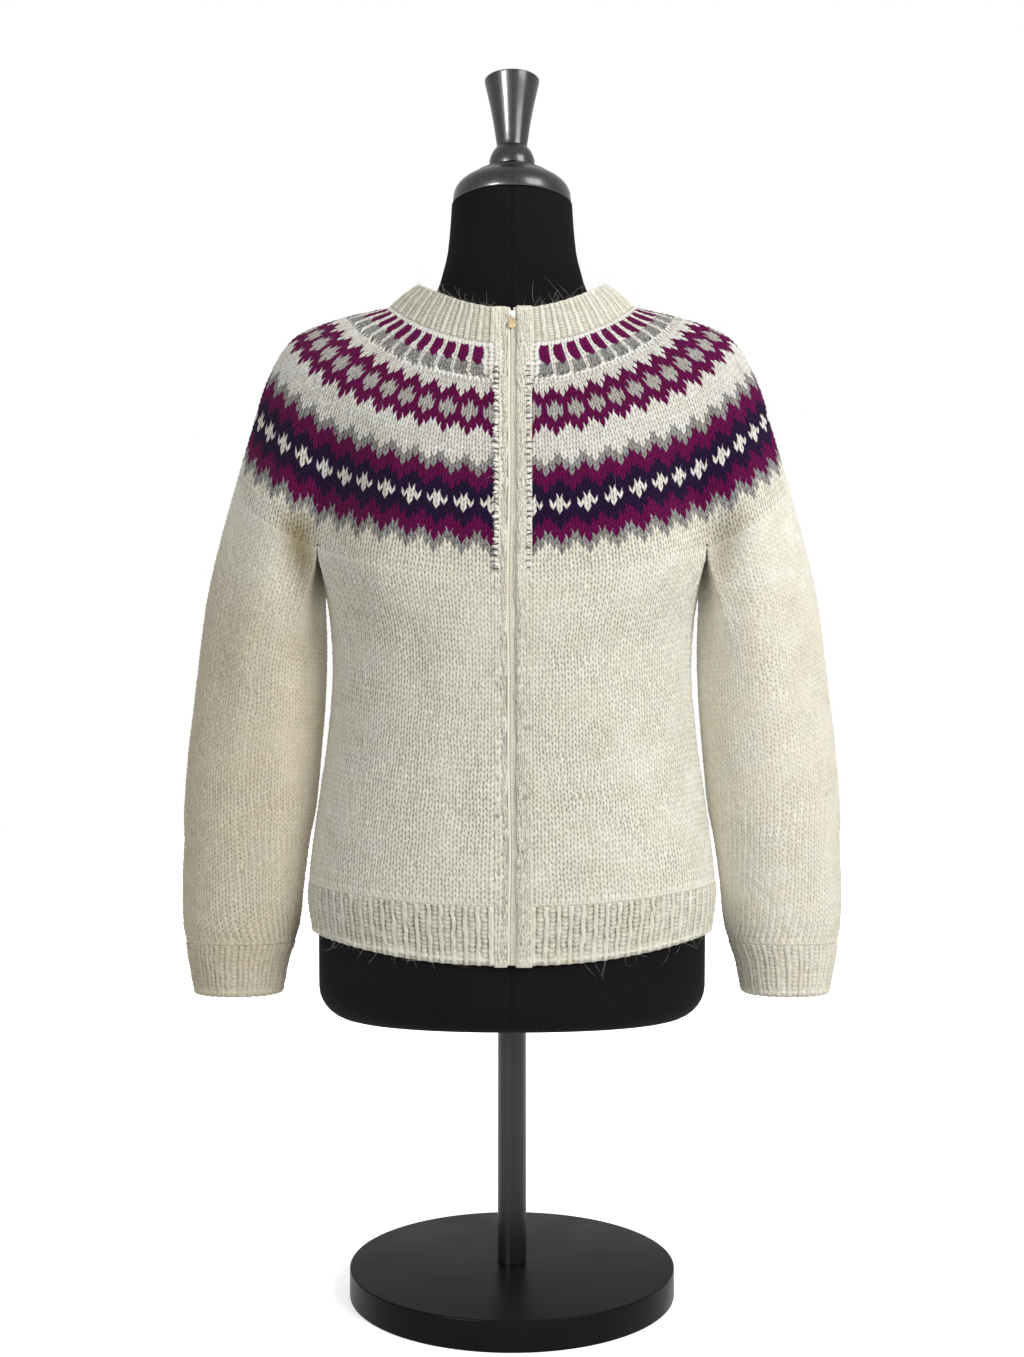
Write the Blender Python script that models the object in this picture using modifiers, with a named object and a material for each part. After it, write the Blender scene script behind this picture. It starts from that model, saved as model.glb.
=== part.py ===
"""A zip-up yoke sweater, worn by a limbless dress form on a pole and a round base.

Metres, +Z up. The origin is the centre of the base's underside, the front faces -Y and the wearer's
left is on +X. Every knitted piece is a wall of one thickness between an outer surface, worked out
from the tables below, and the same surface moved inwards. Two neighbours on one surface share its
points along their seam and stand SEAM apart.
"""

import math

import bmesh
import bpy
import numpy as np

# ---------------------------------------------------------------- driving dimensions
BASE_RADIUS = 0.150
BASE_HEIGHT = 0.027
BASE_EDGE = 0.0025
POLE_RADIUS = 0.01325
SOCKET_RADIUS = 0.0137
SOCKET_DEPTH = 0.120
TORSO_BOTTOM = 0.255
TORSO_TOP = 1.008
TORSO_EDGE = 0.030

WALL = 0.0025
SEAM = 0.0003
PLACKET = 0.0150
BAND_PROUD = 0.0005
TAPE_THICKNESS = 0.0010
TAPE_OUTER = 0.0130
TAPE_INNER = 0.0025
CHAIN_HALF = 0.0022
CHAIN_FRONT = 0.0014
CHAIN_BACK = 0.0040
BAND_INNER_LEFT = 0.0070
BAND_INNER_RIGHT = 0.0045

# The slider: two plates on a post, a wire bail on the front plate and a flat pull in the bail.
SLIDER_AT = 0.0085
CHAIN_ABOVE_SLIDER = 0.0007
SLIDER_HALF_WIDTH = 0.0036
SLIDER_HALF_LENGTH = 0.0045
SLIDER_PLATE = 0.0009
SLIDER_LAP = 0.0004
POST_HALF_WIDTH = 0.0012
POST_LOW = 0.0010
POST_HIGH = 0.0035
BAIL_WIRE = 0.0005
BAIL_REACH = 0.0027
BAIL_HALF = 0.0021
BAIL_FULLNESS = 0.6
PIVOT_OUT = 0.0012
PIVOT_DOWN = 0.0020
PULL_HALF_WIDTH = 0.0030
PULL_LENGTH = 0.0125
PULL_ABOVE_PIVOT = 0.0005
PULL_THICKNESS = 0.0010
PULL_CORNER = 0.0004
WINDOW_HALF_WIDTH = 0.0011
WINDOW_LENGTH = 0.0029

FRONT_COLUMNS = 10
SLEEVE_COLUMNS = 10
BACK_COLUMNS = 10
UNDERARM_COLUMNS = 6
DENSE = 721


def table(columns, *rows):
    """Named columns of a short table, its rows put in the order of the first column."""
    rows = sorted(rows)
    return {name: np.array([row[i] for row in rows]) for i, name in enumerate(columns.split())}


# The upper rings, from the neckband's top edge (-1) through its seam with the yoke (0) to where the
# yoke meets the body and the sleeves (1). dip says how the ring's height falls from side to front.
UPPER = table(
    "ring side_x side_z front_y front_z back_y back_z dip",
    (-1.0, 0.0868, 0.9325, 0.0765, 0.8925, 0.0660, 0.9400, 1.75),
    (-0.5, 0.1000, 0.9245, 0.0825, 0.8755, 0.0735, 0.9290, 1.55),
    (0.0, 0.1125, 0.9137, 0.0885, 0.8575, 0.0800, 0.9160, 1.40),
    (0.2, 0.1580, 0.9025, 0.1005, 0.8190, 0.0935, 0.8800, 1.40),
    (0.4, 0.2020, 0.8840, 0.1110, 0.7800, 0.1020, 0.8400, 1.40),
    (0.6, 0.2265, 0.8450, 0.1180, 0.7400, 0.1070, 0.7930, 1.40),
    (0.8, 0.2420, 0.7950, 0.1225, 0.6970, 0.1085, 0.7290, 1.40),
    (1.0, 0.2575, 0.7420, 0.1240, 0.6500, 0.1060, 0.6550, 1.42),
)
UPPER_POWER = 2.0

# The fold that runs from the yoke down to each underarm, where sleeve and body part: its place
# round the ring, its depth at the seam, its width, and the ring where it starts.
ARMPIT = table(
    "side angle depth width start",
    (0, math.radians(42.2), 0.025, math.radians(9.5), 0.40),
    (1, math.radians(137.8), 0.021, math.radians(9.5), 0.45),
)
UNDERARM_BULGE = 0.0020

# The body below the yoke, by height.
BODY = table(
    "z half front back",
    (0.690, 0.1735, 0.1240, 0.1060),
    (0.650, 0.1700, 0.1245, 0.1045),
    (0.620, 0.1672, 0.1235, 0.1020),
    (0.577, 0.1650, 0.1210, 0.0985),
    (0.520, 0.1690, 0.1200, 0.1000),
    (0.456, 0.1778, 0.1210, 0.1060),
    (0.400, 0.1855, 0.1225, 0.1120),
    (0.372, 0.1875, 0.1232, 0.1145),
    (0.350, 0.1855, 0.1228, 0.1150),
    (0.335, 0.1830, 0.1222, 0.1150),
    (0.315, 0.1822, 0.1220, 0.1150),
)
BODY_POWER = 2.35
HEM_TOP = {"side": 0.381, "front": 0.369, "back": 0.380}
HEM_EDGE = {"side": 0.3367, "front": 0.3188, "back": 0.3350}
HEM_DIP = 3.0
BODY_BLEND = 0.26
SPACING_LEVEL = 0.500

# The right sleeve, by height: its middle, half width and half depth, and how far it hangs forward.
SLEEVE = table(
    "z middle half depth forward",
    (0.742, 0.2163, 0.0418, 0.0600, 0.003),
    (0.716, 0.2200, 0.0452, 0.0590, 0.003),
    (0.679, 0.2245, 0.0496, 0.0575, 0.003),
    (0.642, 0.2276, 0.0534, 0.0560, 0.004),
    (0.605, 0.2292, 0.0568, 0.0540, 0.004),
    (0.550, 0.2330, 0.0595, 0.0510, 0.005),
    (0.493, 0.2384, 0.0606, 0.0480, 0.006),
    (0.456, 0.2413, 0.0602, 0.0460, 0.007),
    (0.4185, 0.2448, 0.0572, 0.0440, 0.008),
    (0.381, 0.2480, 0.0553, 0.0420, 0.008),
    (0.344, 0.2495, 0.0530, 0.0400, 0.009),
    (0.325, 0.2505, 0.0490, 0.0375, 0.009),
    (0.307, 0.2523, 0.0447, 0.0345, 0.009),
    (0.288, 0.2523, 0.0412, 0.0325, 0.009),
    (0.275, 0.2523, 0.0382, 0.0310, 0.009),
)
SLEEVE_POWER = 2.2
CUFF_TOP = 0.326
CUFF_EDGE = 0.2785
SLEEVE_BLEND = 0.30
UNDERARM_ANGLE = math.radians(61)

# Soft folds of each sleeve: the angle round it (0 at the outer side, 90 at the front), the middle
# height, the half height, the half width as an angle and the depth (below 0 for a ridge).
SLEEVE_FOLDS = table(
    "angle middle_z half_z half_angle depth",
    (66, 0.575, 0.150, 24, 0.0036),
    (100, 0.480, 0.150, 26, -0.0018),
    (245, 0.545, 0.150, 24, 0.0036),
)

# The dress form's torso, by height.
TORSO = table(
    "z half front back power",
    (0.255, 0.1770, 0.1130, 0.1090, 2.15),
    (0.290, 0.1785, 0.1155, 0.1110, 2.25),
    (0.330, 0.1785, 0.1165, 0.1110, 2.35),
    (0.380, 0.1760, 0.1150, 0.1080, 2.35),
    (0.450, 0.1640, 0.1110, 0.0980, 2.30),
    (0.520, 0.1480, 0.1040, 0.0880, 2.25),
    (0.570, 0.1420, 0.1000, 0.0840, 2.20),
    (0.640, 0.1480, 0.1060, 0.0880, 2.20),
    (0.700, 0.1530, 0.1120, 0.0950, 2.20),
    (0.750, 0.1580, 0.1100, 0.0970, 2.15),
    (0.800, 0.1640, 0.0990, 0.0970, 2.10),
    (0.840, 0.1710, 0.0810, 0.0910, 2.05),
    (0.868, 0.1712, 0.0665, 0.0810, 1.80),
    (0.884, 0.1655, 0.0610, 0.0740, 1.50),
    (0.898, 0.1465, 0.0580, 0.0680, 1.30),
    (0.912, 0.1070, 0.0570, 0.0630, 1.30),
    (0.926, 0.0705, 0.0570, 0.0590, 1.80),
    (0.940, 0.0657, 0.0570, 0.0580, 2.00),
    (0.958, 0.0608, 0.0555, 0.0560, 2.00),
    (0.980, 0.0580, 0.0545, 0.0550, 2.00),
    (1.008, 0.0560, 0.0535, 0.0535, 2.00),
)
TORSO_ROWS = 30
TORSO_COLUMNS = 44
TORSO_ROW_CROWDING = 1.15

# Turned wood, as radius and height, top to bottom.
CAP_PROFILE = (
    (0.0000, 1.0425),
    (0.0130, 1.0424),
    (0.0209, 1.0415),
    (0.0285, 1.0395),
    (0.0332, 1.0372),
    (0.0372, 1.0352),
    (0.0376, 1.0336),
    (0.0400, 1.0330),
    (0.0455, 1.0298),
    (0.0500, 1.0262),
    (0.0536, 1.0210),
    (0.0549, 1.0150),
    (0.0549, 1.0095),
    (0.0540, 1.0083),
    (0.0000, 1.0083),
)
BALL_RADIUS = 0.0214
BALL_CENTRE = 1.0462
BALL_BOTTOM = 1.0428
NECK_RADIUS = 0.0140
CONE_TOP = 1.1256
CONE_RADIUS = 0.0256
CONE_EDGE = 0.0015
TURNED_STEPS = 40


# ---------------------------------------------------------------- shapes from tables
def smooth(rows, column, at):
    """A smooth curve through one column: cubic pieces whose slopes are the rows' central slopes."""
    key = rows[next(iter(rows))]
    value = rows[column]
    at = np.clip(np.asarray(at, float), key[0], key[-1])
    slope = np.gradient(value, key)
    left = np.clip(np.searchsorted(key, at) - 1, 0, len(key) - 2)
    width = key[left + 1] - key[left]
    f = (at - key[left]) / width
    return (
        (1 + 2 * f) * (1 - f) ** 2 * value[left]
        + f * (1 - f) ** 2 * width * slope[left]
        + f * f * (3 - 2 * f) * value[left + 1]
        + f * f * (f - 1) * width * slope[left + 1]
    )


def ease(value):
    """0 to 1 with flat ends."""
    value = np.clip(value, 0.0, 1.0)
    return value * value * (3 - 2 * value)


def oval(angle, half, front, back, power):
    """Half an outline seen from above, from the front (0) to the back (pi), a superellipse."""
    across = np.abs(np.sin(angle)) ** (2 / power)
    along = np.cos(angle)
    reach = np.abs(along) ** (2 / power)
    return half * across, np.where(along > 0, -front * reach, back * reach)


def lengths(points):
    """The distance walked to each point of a line."""
    return np.concatenate([[0.0], np.cumsum(np.linalg.norm(np.diff(points, axis=0), axis=1))])


def spread(points, walked, at):
    """Points of a line at the given walked distances."""
    return np.stack([np.interp(at, walked, points[:, k]) for k in range(3)], axis=1)


# ---------------------------------------------------------------- the knitted surfaces
def soft_power(value, power, soft=0.15):
    """A power of a value from 0 to 1, round instead of sharp at 0 and still 1 at 1."""
    half = power / 2
    return ((value**2 + soft**2) ** half - soft**power) / ((1 + soft**2) ** half - soft**power)


def upper_ring(ring):
    """One ring of neckband or yoke on +X, dense, from the front to the back."""
    angle = np.linspace(0, math.pi, DENSE)
    get = {name: smooth(UPPER, name, ring) for name in UPPER if name != "ring"}
    x, y = oval(angle, get["side_x"], get["front_y"], get["back_y"], UPPER_POWER)
    end_z = np.where(np.cos(angle) > 0, get["front_z"], get["back_z"])
    z = get["side_z"] + (end_z - get["side_z"]) * soft_power(np.abs(np.cos(angle)), get["dip"])
    for i in (0, 1):
        grown = ease((ring - ARMPIT["start"][i]) / (1 - ARMPIT["start"][i]))
        fold = np.exp(-(((angle - ARMPIT["angle"][i]) / ARMPIT["width"][i]) ** 2))
        y = y - np.sign(y) * ARMPIT["depth"][i] * grown * fold
    return np.stack([x, y, z], axis=1)


def placket_start(points, walked):
    """The walked distance at which a ring leaves the front opening."""
    near = points[:, 0] < 3 * PLACKET
    near[DENSE // 2 :] = False
    return np.interp(PLACKET, points[near, 0], walked[near])


def armpit_shares():
    """The shares of the lowest upper ring at which the two armpit folds stand."""
    points = upper_ring(1.0)
    walked = lengths(points)
    start = placket_start(points, walked)
    at = np.interp(ARMPIT["angle"], np.linspace(0, math.pi, DENSE), walked)
    return (at - start) / (walked[-1] - start)


def upper_grid(rings):
    """Rows of points on neckband and yoke, with columns that meet the armpit folds."""
    first, second = armpit_shares()
    share = np.concatenate(
        [
            np.linspace(0, first, FRONT_COLUMNS + 1),
            np.linspace(first, second, SLEEVE_COLUMNS + 1)[1:],
            np.linspace(second, 1, BACK_COLUMNS + 1)[1:],
        ]
    )
    rows = []
    for ring in rings:
        points = upper_ring(ring)
        walked = lengths(points)
        start = placket_start(points, walked)
        rows.append(spread(points, walked, start + share * (walked[-1] - start)))
    return np.array(rows)


def underarm(front, back):
    """The seam under one arm, from the front fold's foot to the back fold's."""
    share = np.linspace(0, 1, UNDERARM_COLUMNS + 1)[:, None]
    line = front + (back - front) * share
    line[:, 0] += UNDERARM_BULGE * np.sin(math.pi * share[:, 0])
    return line


def body_outline(turn, z):
    get = {name: smooth(BODY, name, z) for name in ("half", "front", "back")}
    return oval(turn, get["half"], get["front"], get["back"], BODY_POWER)


def body_grid(seam, shares):
    """Rows of points from the yoke seam to the hem's edge; share 1 is the hem rib's top.

    Columns are spaced like the outline at SPACING_LEVEL, and keep the yoke seam's place on it.
    """
    walked = lengths(seam)
    place = walked / walked[-1]
    angle = np.linspace(0, math.pi, DENSE)
    outline = np.stack([*body_outline(angle, SPACING_LEVEL), 0 * angle], axis=1)
    run = lengths(outline)
    start = placket_start(outline, run)
    turn = np.interp(start + place * (run[-1] - start), run, angle)
    fall = np.abs(np.cos(turn)) ** HEM_DIP
    ahead = np.cos(turn) > 0
    rib_z, edge_z = (
        level["side"] + (np.where(ahead, level["front"], level["back"]) - level["side"]) * fall
        for level in (HEM_TOP, HEM_EDGE)
    )
    x, y = body_outline(turn, seam[:, 2])
    apart = seam[:, 0] - x, seam[:, 1] - y
    rows = []
    for share in shares:
        upper = min(share, 1.0)
        z = seam[:, 2] + (rib_z - seam[:, 2]) * upper + (edge_z - rib_z) * (max(share, 1.0) - 1.0)
        x, y = body_outline(turn, z)
        keep = 1 - ease(share / BODY_BLEND)
        rows.append(np.stack([x + apart[0] * keep, y + apart[1] * keep, z], axis=1))
        rows[-1][0, 0] = PLACKET
    return np.array(rows)


def sleeve_folds(turn, z):
    """How far each point of a sleeve lies in its soft folds."""
    depth = np.zeros_like(z)
    for angle, middle, half_z, half_angle, deep in zip(*SLEEVE_FOLDS.values()):
        apart = (np.degrees(turn) - angle + 180) % 360 - 180
        depth += deep * np.exp(-((apart / half_angle) ** 2)) * ease(1 - np.abs(z - middle) / half_z)
    return depth


def sleeve_outline(turn, z):
    """The right sleeve seen from above: a superellipse with its folds pressed in."""
    get = {name: smooth(SLEEVE, name, z) for name in SLEEVE if name != "z"}
    across = np.sign(np.cos(turn)) * np.abs(np.cos(turn)) ** (2 / SLEEVE_POWER)
    along = np.sign(np.sin(turn)) * np.abs(np.sin(turn)) ** (2 / SLEEVE_POWER)
    deep = sleeve_folds(turn, z)
    x = get["middle"] + (get["half"] - deep) * across
    y = -get["forward"] - (get["depth"] - deep) * along
    return x, y


def sleeve_grid(seam, shares):
    """Rows of points from the yoke seam to the cuff's edge; share 1 is the cuff's top.

    The seam runs from the front armpit round the outside to the back armpit, then under the arm.
    """
    outer = lengths(seam[: SLEEVE_COLUMNS + 1])
    inner = lengths(seam[SLEEVE_COLUMNS:])
    open_half = math.pi - UNDERARM_ANGLE
    turn = np.concatenate(
        [
            open_half - 2 * open_half * outer / outer[-1],
            -open_half - 2 * UNDERARM_ANGLE * inner[1:] / inner[-1],
        ]
    )
    x, y = sleeve_outline(turn, seam[:, 2])
    apart = seam[:, 0] - x, seam[:, 1] - y
    rows = []
    for share in shares:
        z = seam[:, 2] + (CUFF_TOP - seam[:, 2]) * min(share, 1.0)
        z = z + (CUFF_EDGE - CUFF_TOP) * (max(share, 1.0) - 1.0)
        x, y = sleeve_outline(turn, z)
        keep = 1 - ease(share / SLEEVE_BLEND)
        rows.append(np.stack([x + apart[0] * keep, y + apart[1] * keep, z], axis=1))
    return np.array(rows)


def outward(grid, closed):
    """Unit normals of a grid of rows that run down and columns that run anticlockwise."""
    down = np.gradient(grid, axis=0)
    if closed:
        along = np.roll(grid, -1, axis=1) - np.roll(grid, 1, axis=1)
    else:
        along = np.gradient(grid, axis=1)
    normal = np.cross(down, along)
    return normal / np.linalg.norm(normal, axis=2, keepdims=True)


def share_normals(*places):
    """Gives the points that several grids share along a seam one normal."""
    total = sum(normals[row, columns] for normals, row, columns in places)
    total = total / np.linalg.norm(total, axis=-1, keepdims=True)
    for normals, row, columns in places:
        normals[row, columns] = total


def pull_back(grid, row, towards):
    """Moves a border row half a seam's gap along the surface, towards its neighbour row."""
    step = grid[towards] - grid[row]
    grid[row] += step / np.linalg.norm(step, axis=1, keepdims=True) * SEAM / 2


# ---------------------------------------------------------------- meshes and objects
def material(name, colour, roughness, metallic=0.0):
    made = bpy.data.materials.new(name)
    made.use_nodes = True
    shader = made.node_tree.nodes["Principled BSDF"]
    shader.inputs["Base Color"].default_value = (*colour, 1.0)
    shader.inputs["Roughness"].default_value = roughness
    shader.inputs["Metallic"].default_value = metallic
    made.diffuse_color = (*colour, 1.0)
    return made


def add_object(name, mesh, look, collection):
    made = bpy.data.objects.new(name, mesh)
    mesh.materials.append(look)
    collection.objects.link(made)
    return made


def solid(name, points, faces, look, collection):
    """An object from points and faces, with its normals turned outwards and its round sides smooth."""
    shape = bmesh.new()
    corners = [shape.verts.new(point) for point in points]
    for face in faces:
        shape.faces.new([corners[i] for i in face])
    bmesh.ops.recalc_face_normals(shape, faces=shape.faces)
    mesh = bpy.data.meshes.new(name)
    shape.to_mesh(mesh)
    shape.free()
    mesh.shade_smooth()
    mesh.set_sharp_from_angle(angle=math.radians(40))
    return add_object(name, mesh, look, collection)


def wall(name, grid, normals, look, collection, closed=False, thickness=WALL):
    """A closed solid between a grid of points and the same grid moved inwards."""
    rows, columns = grid.shape[:2]
    inner = grid - normals * thickness
    points = np.concatenate([grid.reshape(-1, 3), inner.reshape(-1, 3)])
    under = rows * columns
    across = columns if closed else columns - 1
    faces = []
    for j in range(across):
        right = (j + 1) % columns
        for i in range(rows - 1):
            a, b = i * columns + j, i * columns + right
            c, d = b + columns, a + columns
            faces += [(a, b, c, d), (a + under, d + under, c + under, b + under)]
        bottom = (rows - 1) * columns
        faces.append((j, j + under, right + under, right))
        faces.append((bottom + j, bottom + right, bottom + right + under, bottom + j + under))
    if not closed:
        for i in range(rows - 1):
            for a in (i * columns, (i + 1) * columns - 1):
                b = a + columns
                faces.append((a, b, b + under, a + under))
    return solid(name, points, faces, look, collection)


def whole(half):
    """A grid on +X and its mirror image, as one grid from one opening edge round to the other."""
    other = half[:, -2::-1].copy()
    other[..., 0] *= -1
    half = half.copy()
    half[:, -1, 0] = 0
    return np.concatenate([half, other], axis=1)


def mirrored(grid):
    other = grid.copy()
    other[..., 0] *= -1
    return other


def turned(name, profile, look, collection, steps=TURNED_STEPS):
    """A profile of (radius, height), top to bottom, turned about Z."""
    mesh = bpy.data.meshes.new(name)
    points = [(radius, 0.0, height) for radius, height in profile]
    mesh.from_pydata(points, [(i, i + 1) for i in range(len(points) - 1)], [])
    made = add_object(name, mesh, look, collection)
    spin = made.modifiers.new("Turn", "SCREW")
    spin.steps = spin.render_steps = steps
    spin.use_merge_vertices = True
    spin.merge_threshold = 0.0001
    spin.use_smooth_shade = True
    return made


def block(name, low, high, look, collection):
    """A box between two corners, with its place in its mesh."""
    shape = bmesh.new()
    bmesh.ops.create_cube(shape, size=1.0)
    low, high = np.array(low), np.array(high)
    for corner in shape.verts:
        corner.co = (low + high) / 2 + np.array(corner.co) * (high - low)
    mesh = bpy.data.meshes.new(name)
    shape.to_mesh(mesh)
    shape.free()
    return add_object(name, mesh, look, collection)


def cut(target, tool, operation):
    """Takes a tool out of a piece, or joins it to the piece."""
    step = target.modifiers.new(tool.name, "BOOLEAN")
    step.operation = operation
    step.object = tool
    tool.hide_render = True
    tool.display_type = "WIRE"


# ---------------------------------------------------------------- the dress form and its stand
def make_base(look, collection):
    bpy.ops.mesh.primitive_cylinder_add(
        vertices=72, radius=BASE_RADIUS, depth=BASE_HEIGHT, location=(0, 0, BASE_HEIGHT / 2)
    )
    base = bpy.context.object
    base.name = base.data.name = "base"
    base.data.materials.append(look)
    for old in base.users_collection:
        old.objects.unlink(base)
    collection.objects.link(base)
    edge = base.modifiers.new("Edge", "BEVEL")
    edge.width = BASE_EDGE
    edge.segments = 2
    edge.limit_method = "ANGLE"
    edge.angle_limit = math.radians(60)


def make_pole(look, collection):
    bottom = BASE_HEIGHT + SEAM
    top = TORSO_BOTTOM + SOCKET_DEPTH - SEAM
    profile = ((0, top), (POLE_RADIUS, top), (POLE_RADIUS, bottom), (0, bottom))
    turned("pole", profile, look, collection, steps=32)


def make_torso(look, cutters, collection):
    """The torso: ovals by height, rounded at the bottom edge, with a socket for the pole."""
    rise = np.linspace(0, 1, TORSO_ROWS) ** TORSO_ROW_CROWDING
    heights = TORSO_BOTTOM + TORSO_EDGE + rise * (TORSO_TOP - TORSO_BOTTOM - TORSO_EDGE)
    levels = []
    for a in np.linspace(0, math.pi / 2, 6)[:-1]:
        levels.append((TORSO_BOTTOM + TORSO_EDGE * (1 - math.cos(a)), TORSO_EDGE * (1 - math.sin(a))))
    levels += [(height, 0.0) for height in heights]
    turn = np.linspace(0, 2 * math.pi, TORSO_COLUMNS, endpoint=False)
    points = []
    for height, inset in levels:
        get = {name: smooth(TORSO, name, height) for name in TORSO if name != "z"}
        sizes = (get[name] - inset for name in ("half", "front", "back"))
        x, y = oval(turn, *sizes, get["power"])
        points.append(np.stack([np.copysign(x, np.sin(turn)), y, 0 * x + height], axis=1))
    points = np.concatenate(points)
    faces = []
    for i in range(len(levels) - 1):
        for j in range(TORSO_COLUMNS):
            a, b = i * TORSO_COLUMNS + j, i * TORSO_COLUMNS + (j + 1) % TORSO_COLUMNS
            faces.append((a, b, b + TORSO_COLUMNS, a + TORSO_COLUMNS))
    faces.append(tuple(range(TORSO_COLUMNS))[::-1])
    faces.append(tuple(range(len(points) - TORSO_COLUMNS, len(points))))
    torso = solid("form_torso", points, faces, look, collection)
    bottom, top = TORSO_BOTTOM - 0.02, TORSO_BOTTOM + SOCKET_DEPTH
    profile = ((0, top), (SOCKET_RADIUS, top), (SOCKET_RADIUS, bottom), (0, bottom))
    cut(torso, turned("pole_socket", profile, look, cutters, steps=48), "DIFFERENCE")


def make_cap_and_finial(look, collection):
    turned("neck_cap", CAP_PROFILE, look, collection, steps=48)
    start = math.asin(NECK_RADIUS / BALL_RADIUS)
    end = math.acos((BALL_BOTTOM - BALL_CENTRE) / BALL_RADIUS)
    ball = []
    for a in np.linspace(start, end, 9):
        ball.append((BALL_RADIUS * math.sin(a), BALL_CENTRE + BALL_RADIUS * math.cos(a)))
    cone = [
        (0, CONE_TOP),
        (CONE_RADIUS - CONE_EDGE, CONE_TOP),
        (CONE_RADIUS, CONE_TOP - CONE_EDGE),
    ]
    turned("finial", cone + ball + [(0, BALL_BOTTOM)], look, collection)


# ---------------------------------------------------------------- the sweater
def knitted_surfaces():
    """The outer points and shared normals of every knitted surface on +X."""
    neck_rings = [-1.0, -0.5, 0.0]
    yoke_rings = [0.0, 0.12, 0.25, 0.38, 0.50, 0.62, 0.74, 0.87, 1.0]
    upper = upper_grid(neck_rings + yoke_rings[1:])
    seam = upper[-1]
    front_foot, back_foot = FRONT_COLUMNS, FRONT_COLUMNS + SLEEVE_COLUMNS
    under = underarm(seam[front_foot], seam[back_foot])
    body_seam = np.concatenate([seam[: front_foot + 1], under[1:-1], seam[back_foot:]])
    sleeve_seam = np.concatenate([seam[front_foot : back_foot + 1], under[-2:0:-1]])
    body_rows = [0, 0.035, 0.09, 0.17, 0.26, 0.40, 0.56, 0.72, 0.87, 1.0, 1.5, 2.0]
    sleeve_rows = [0, 0.035, 0.09, 0.17, 0.27, 0.38, 0.50, 0.62, 0.74, 0.87, 1.0, 1.5, 2.0]
    body = body_grid(body_seam, body_rows)
    sleeve = sleeve_grid(sleeve_seam, sleeve_rows)

    upper_normals = outward(upper, closed=False)
    body_normals = outward(body, closed=False)
    sleeve_normals = outward(sleeve, closed=True)
    columns = np.arange
    inner = slice(1, front_foot)
    share_normals((upper_normals, -1, inner), (body_normals, 0, inner))
    share_normals((upper_normals, -1, 0), (body_normals, 0, 0))
    share_normals(
        (upper_normals, -1, columns(front_foot + 1, back_foot)),
        (sleeve_normals, 0, columns(1, SLEEVE_COLUMNS)),
    )
    share_normals(
        (upper_normals, -1, columns(back_foot + 1, upper.shape[1])),
        (body_normals, 0, columns(front_foot + UNDERARM_COLUMNS + 1, body.shape[1])),
    )
    share_normals(
        (body_normals, 0, columns(front_foot + 1, front_foot + UNDERARM_COLUMNS)),
        (sleeve_normals, 0, columns(sleeve.shape[1] - 1, SLEEVE_COLUMNS, -1)),
    )
    for upper_at, body_at, sleeve_at in (
        (front_foot, front_foot, 0),
        (back_foot, front_foot + UNDERARM_COLUMNS, SLEEVE_COLUMNS),
    ):
        share_normals(
            (upper_normals, -1, upper_at), (body_normals, 0, body_at), (sleeve_normals, 0, sleeve_at)
        )
    for normals in (upper_normals, body_normals):
        normals[:, -1, 0] = 0
    return (upper, upper_normals, len(neck_rings)), (body, body_normals), (sleeve, sleeve_normals)


def part_surface(grid, normals, first, last):
    """A copy of some rows, its seam borders pulled back."""
    piece, normals = grid[first:last].copy(), normals[first:last].copy()
    if first > 0:
        pull_back(piece, 0, 1)
    if last < len(grid):
        pull_back(piece, -1, -2)
    return piece, normals


def make_knitwear(looks, collection):
    """Neckband, yoke, body, hem, sleeves and cuffs; returns the front edge's points and normals."""
    (upper, upper_normals, neck_rows), (body, body_normals), (sleeve, sleeve_normals) = knitted_surfaces()
    wool, rib, pattern = looks["wool"], looks["rib"], looks["pattern"]

    neck, neck_normals = part_surface(upper, upper_normals, 0, neck_rows)
    wall("neckband", whole(neck), whole(neck_normals), rib, collection)
    yoke, yoke_normals = part_surface(upper, upper_normals, neck_rows - 1, len(upper))
    pull_back(yoke, -1, -2)
    wall("yoke", whole(yoke), whole(yoke_normals), pattern, collection)

    under = slice(FRONT_COLUMNS, FRONT_COLUMNS + UNDERARM_COLUMNS + 1)
    front, front_normals = part_surface(body, body_normals, 0, -2)
    pull_back(front, 0, 1)
    front[0, under, 0] -= SEAM / 2
    wall("body", whole(front), whole(front_normals), wool, collection)
    hem, hem_normals = part_surface(body, body_normals, len(body) - 3, len(body))
    wall("hem_rib", whole(hem), whole(hem_normals), rib, collection)

    arm, arm_normals = part_surface(sleeve, sleeve_normals, 0, -2)
    pull_back(arm, 0, 1)
    arm[0, SLEEVE_COLUMNS:, 0] += SEAM / 2
    arm[0, 0, 0] += SEAM / 2
    cuff, cuff_normals = part_surface(sleeve, sleeve_normals, len(sleeve) - 3, len(sleeve))
    for side, flip in (("right", np.copy), ("left", mirrored)):
        wall("sleeve_" + side, flip(arm), flip(arm_normals), wool, collection, closed=True)
        wall("cuff_" + side, flip(cuff), flip(cuff_normals), rib, collection, closed=True)

    edge = np.concatenate([upper[:-1, 0], body[:, 0]])
    edge_normals = np.concatenate([upper_normals[:-1, 0], body_normals[:, 0]])
    edge_normals[:, 0] = 0
    edge_normals /= np.linalg.norm(edge_normals, axis=1, keepdims=True)
    return edge, edge_normals


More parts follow.
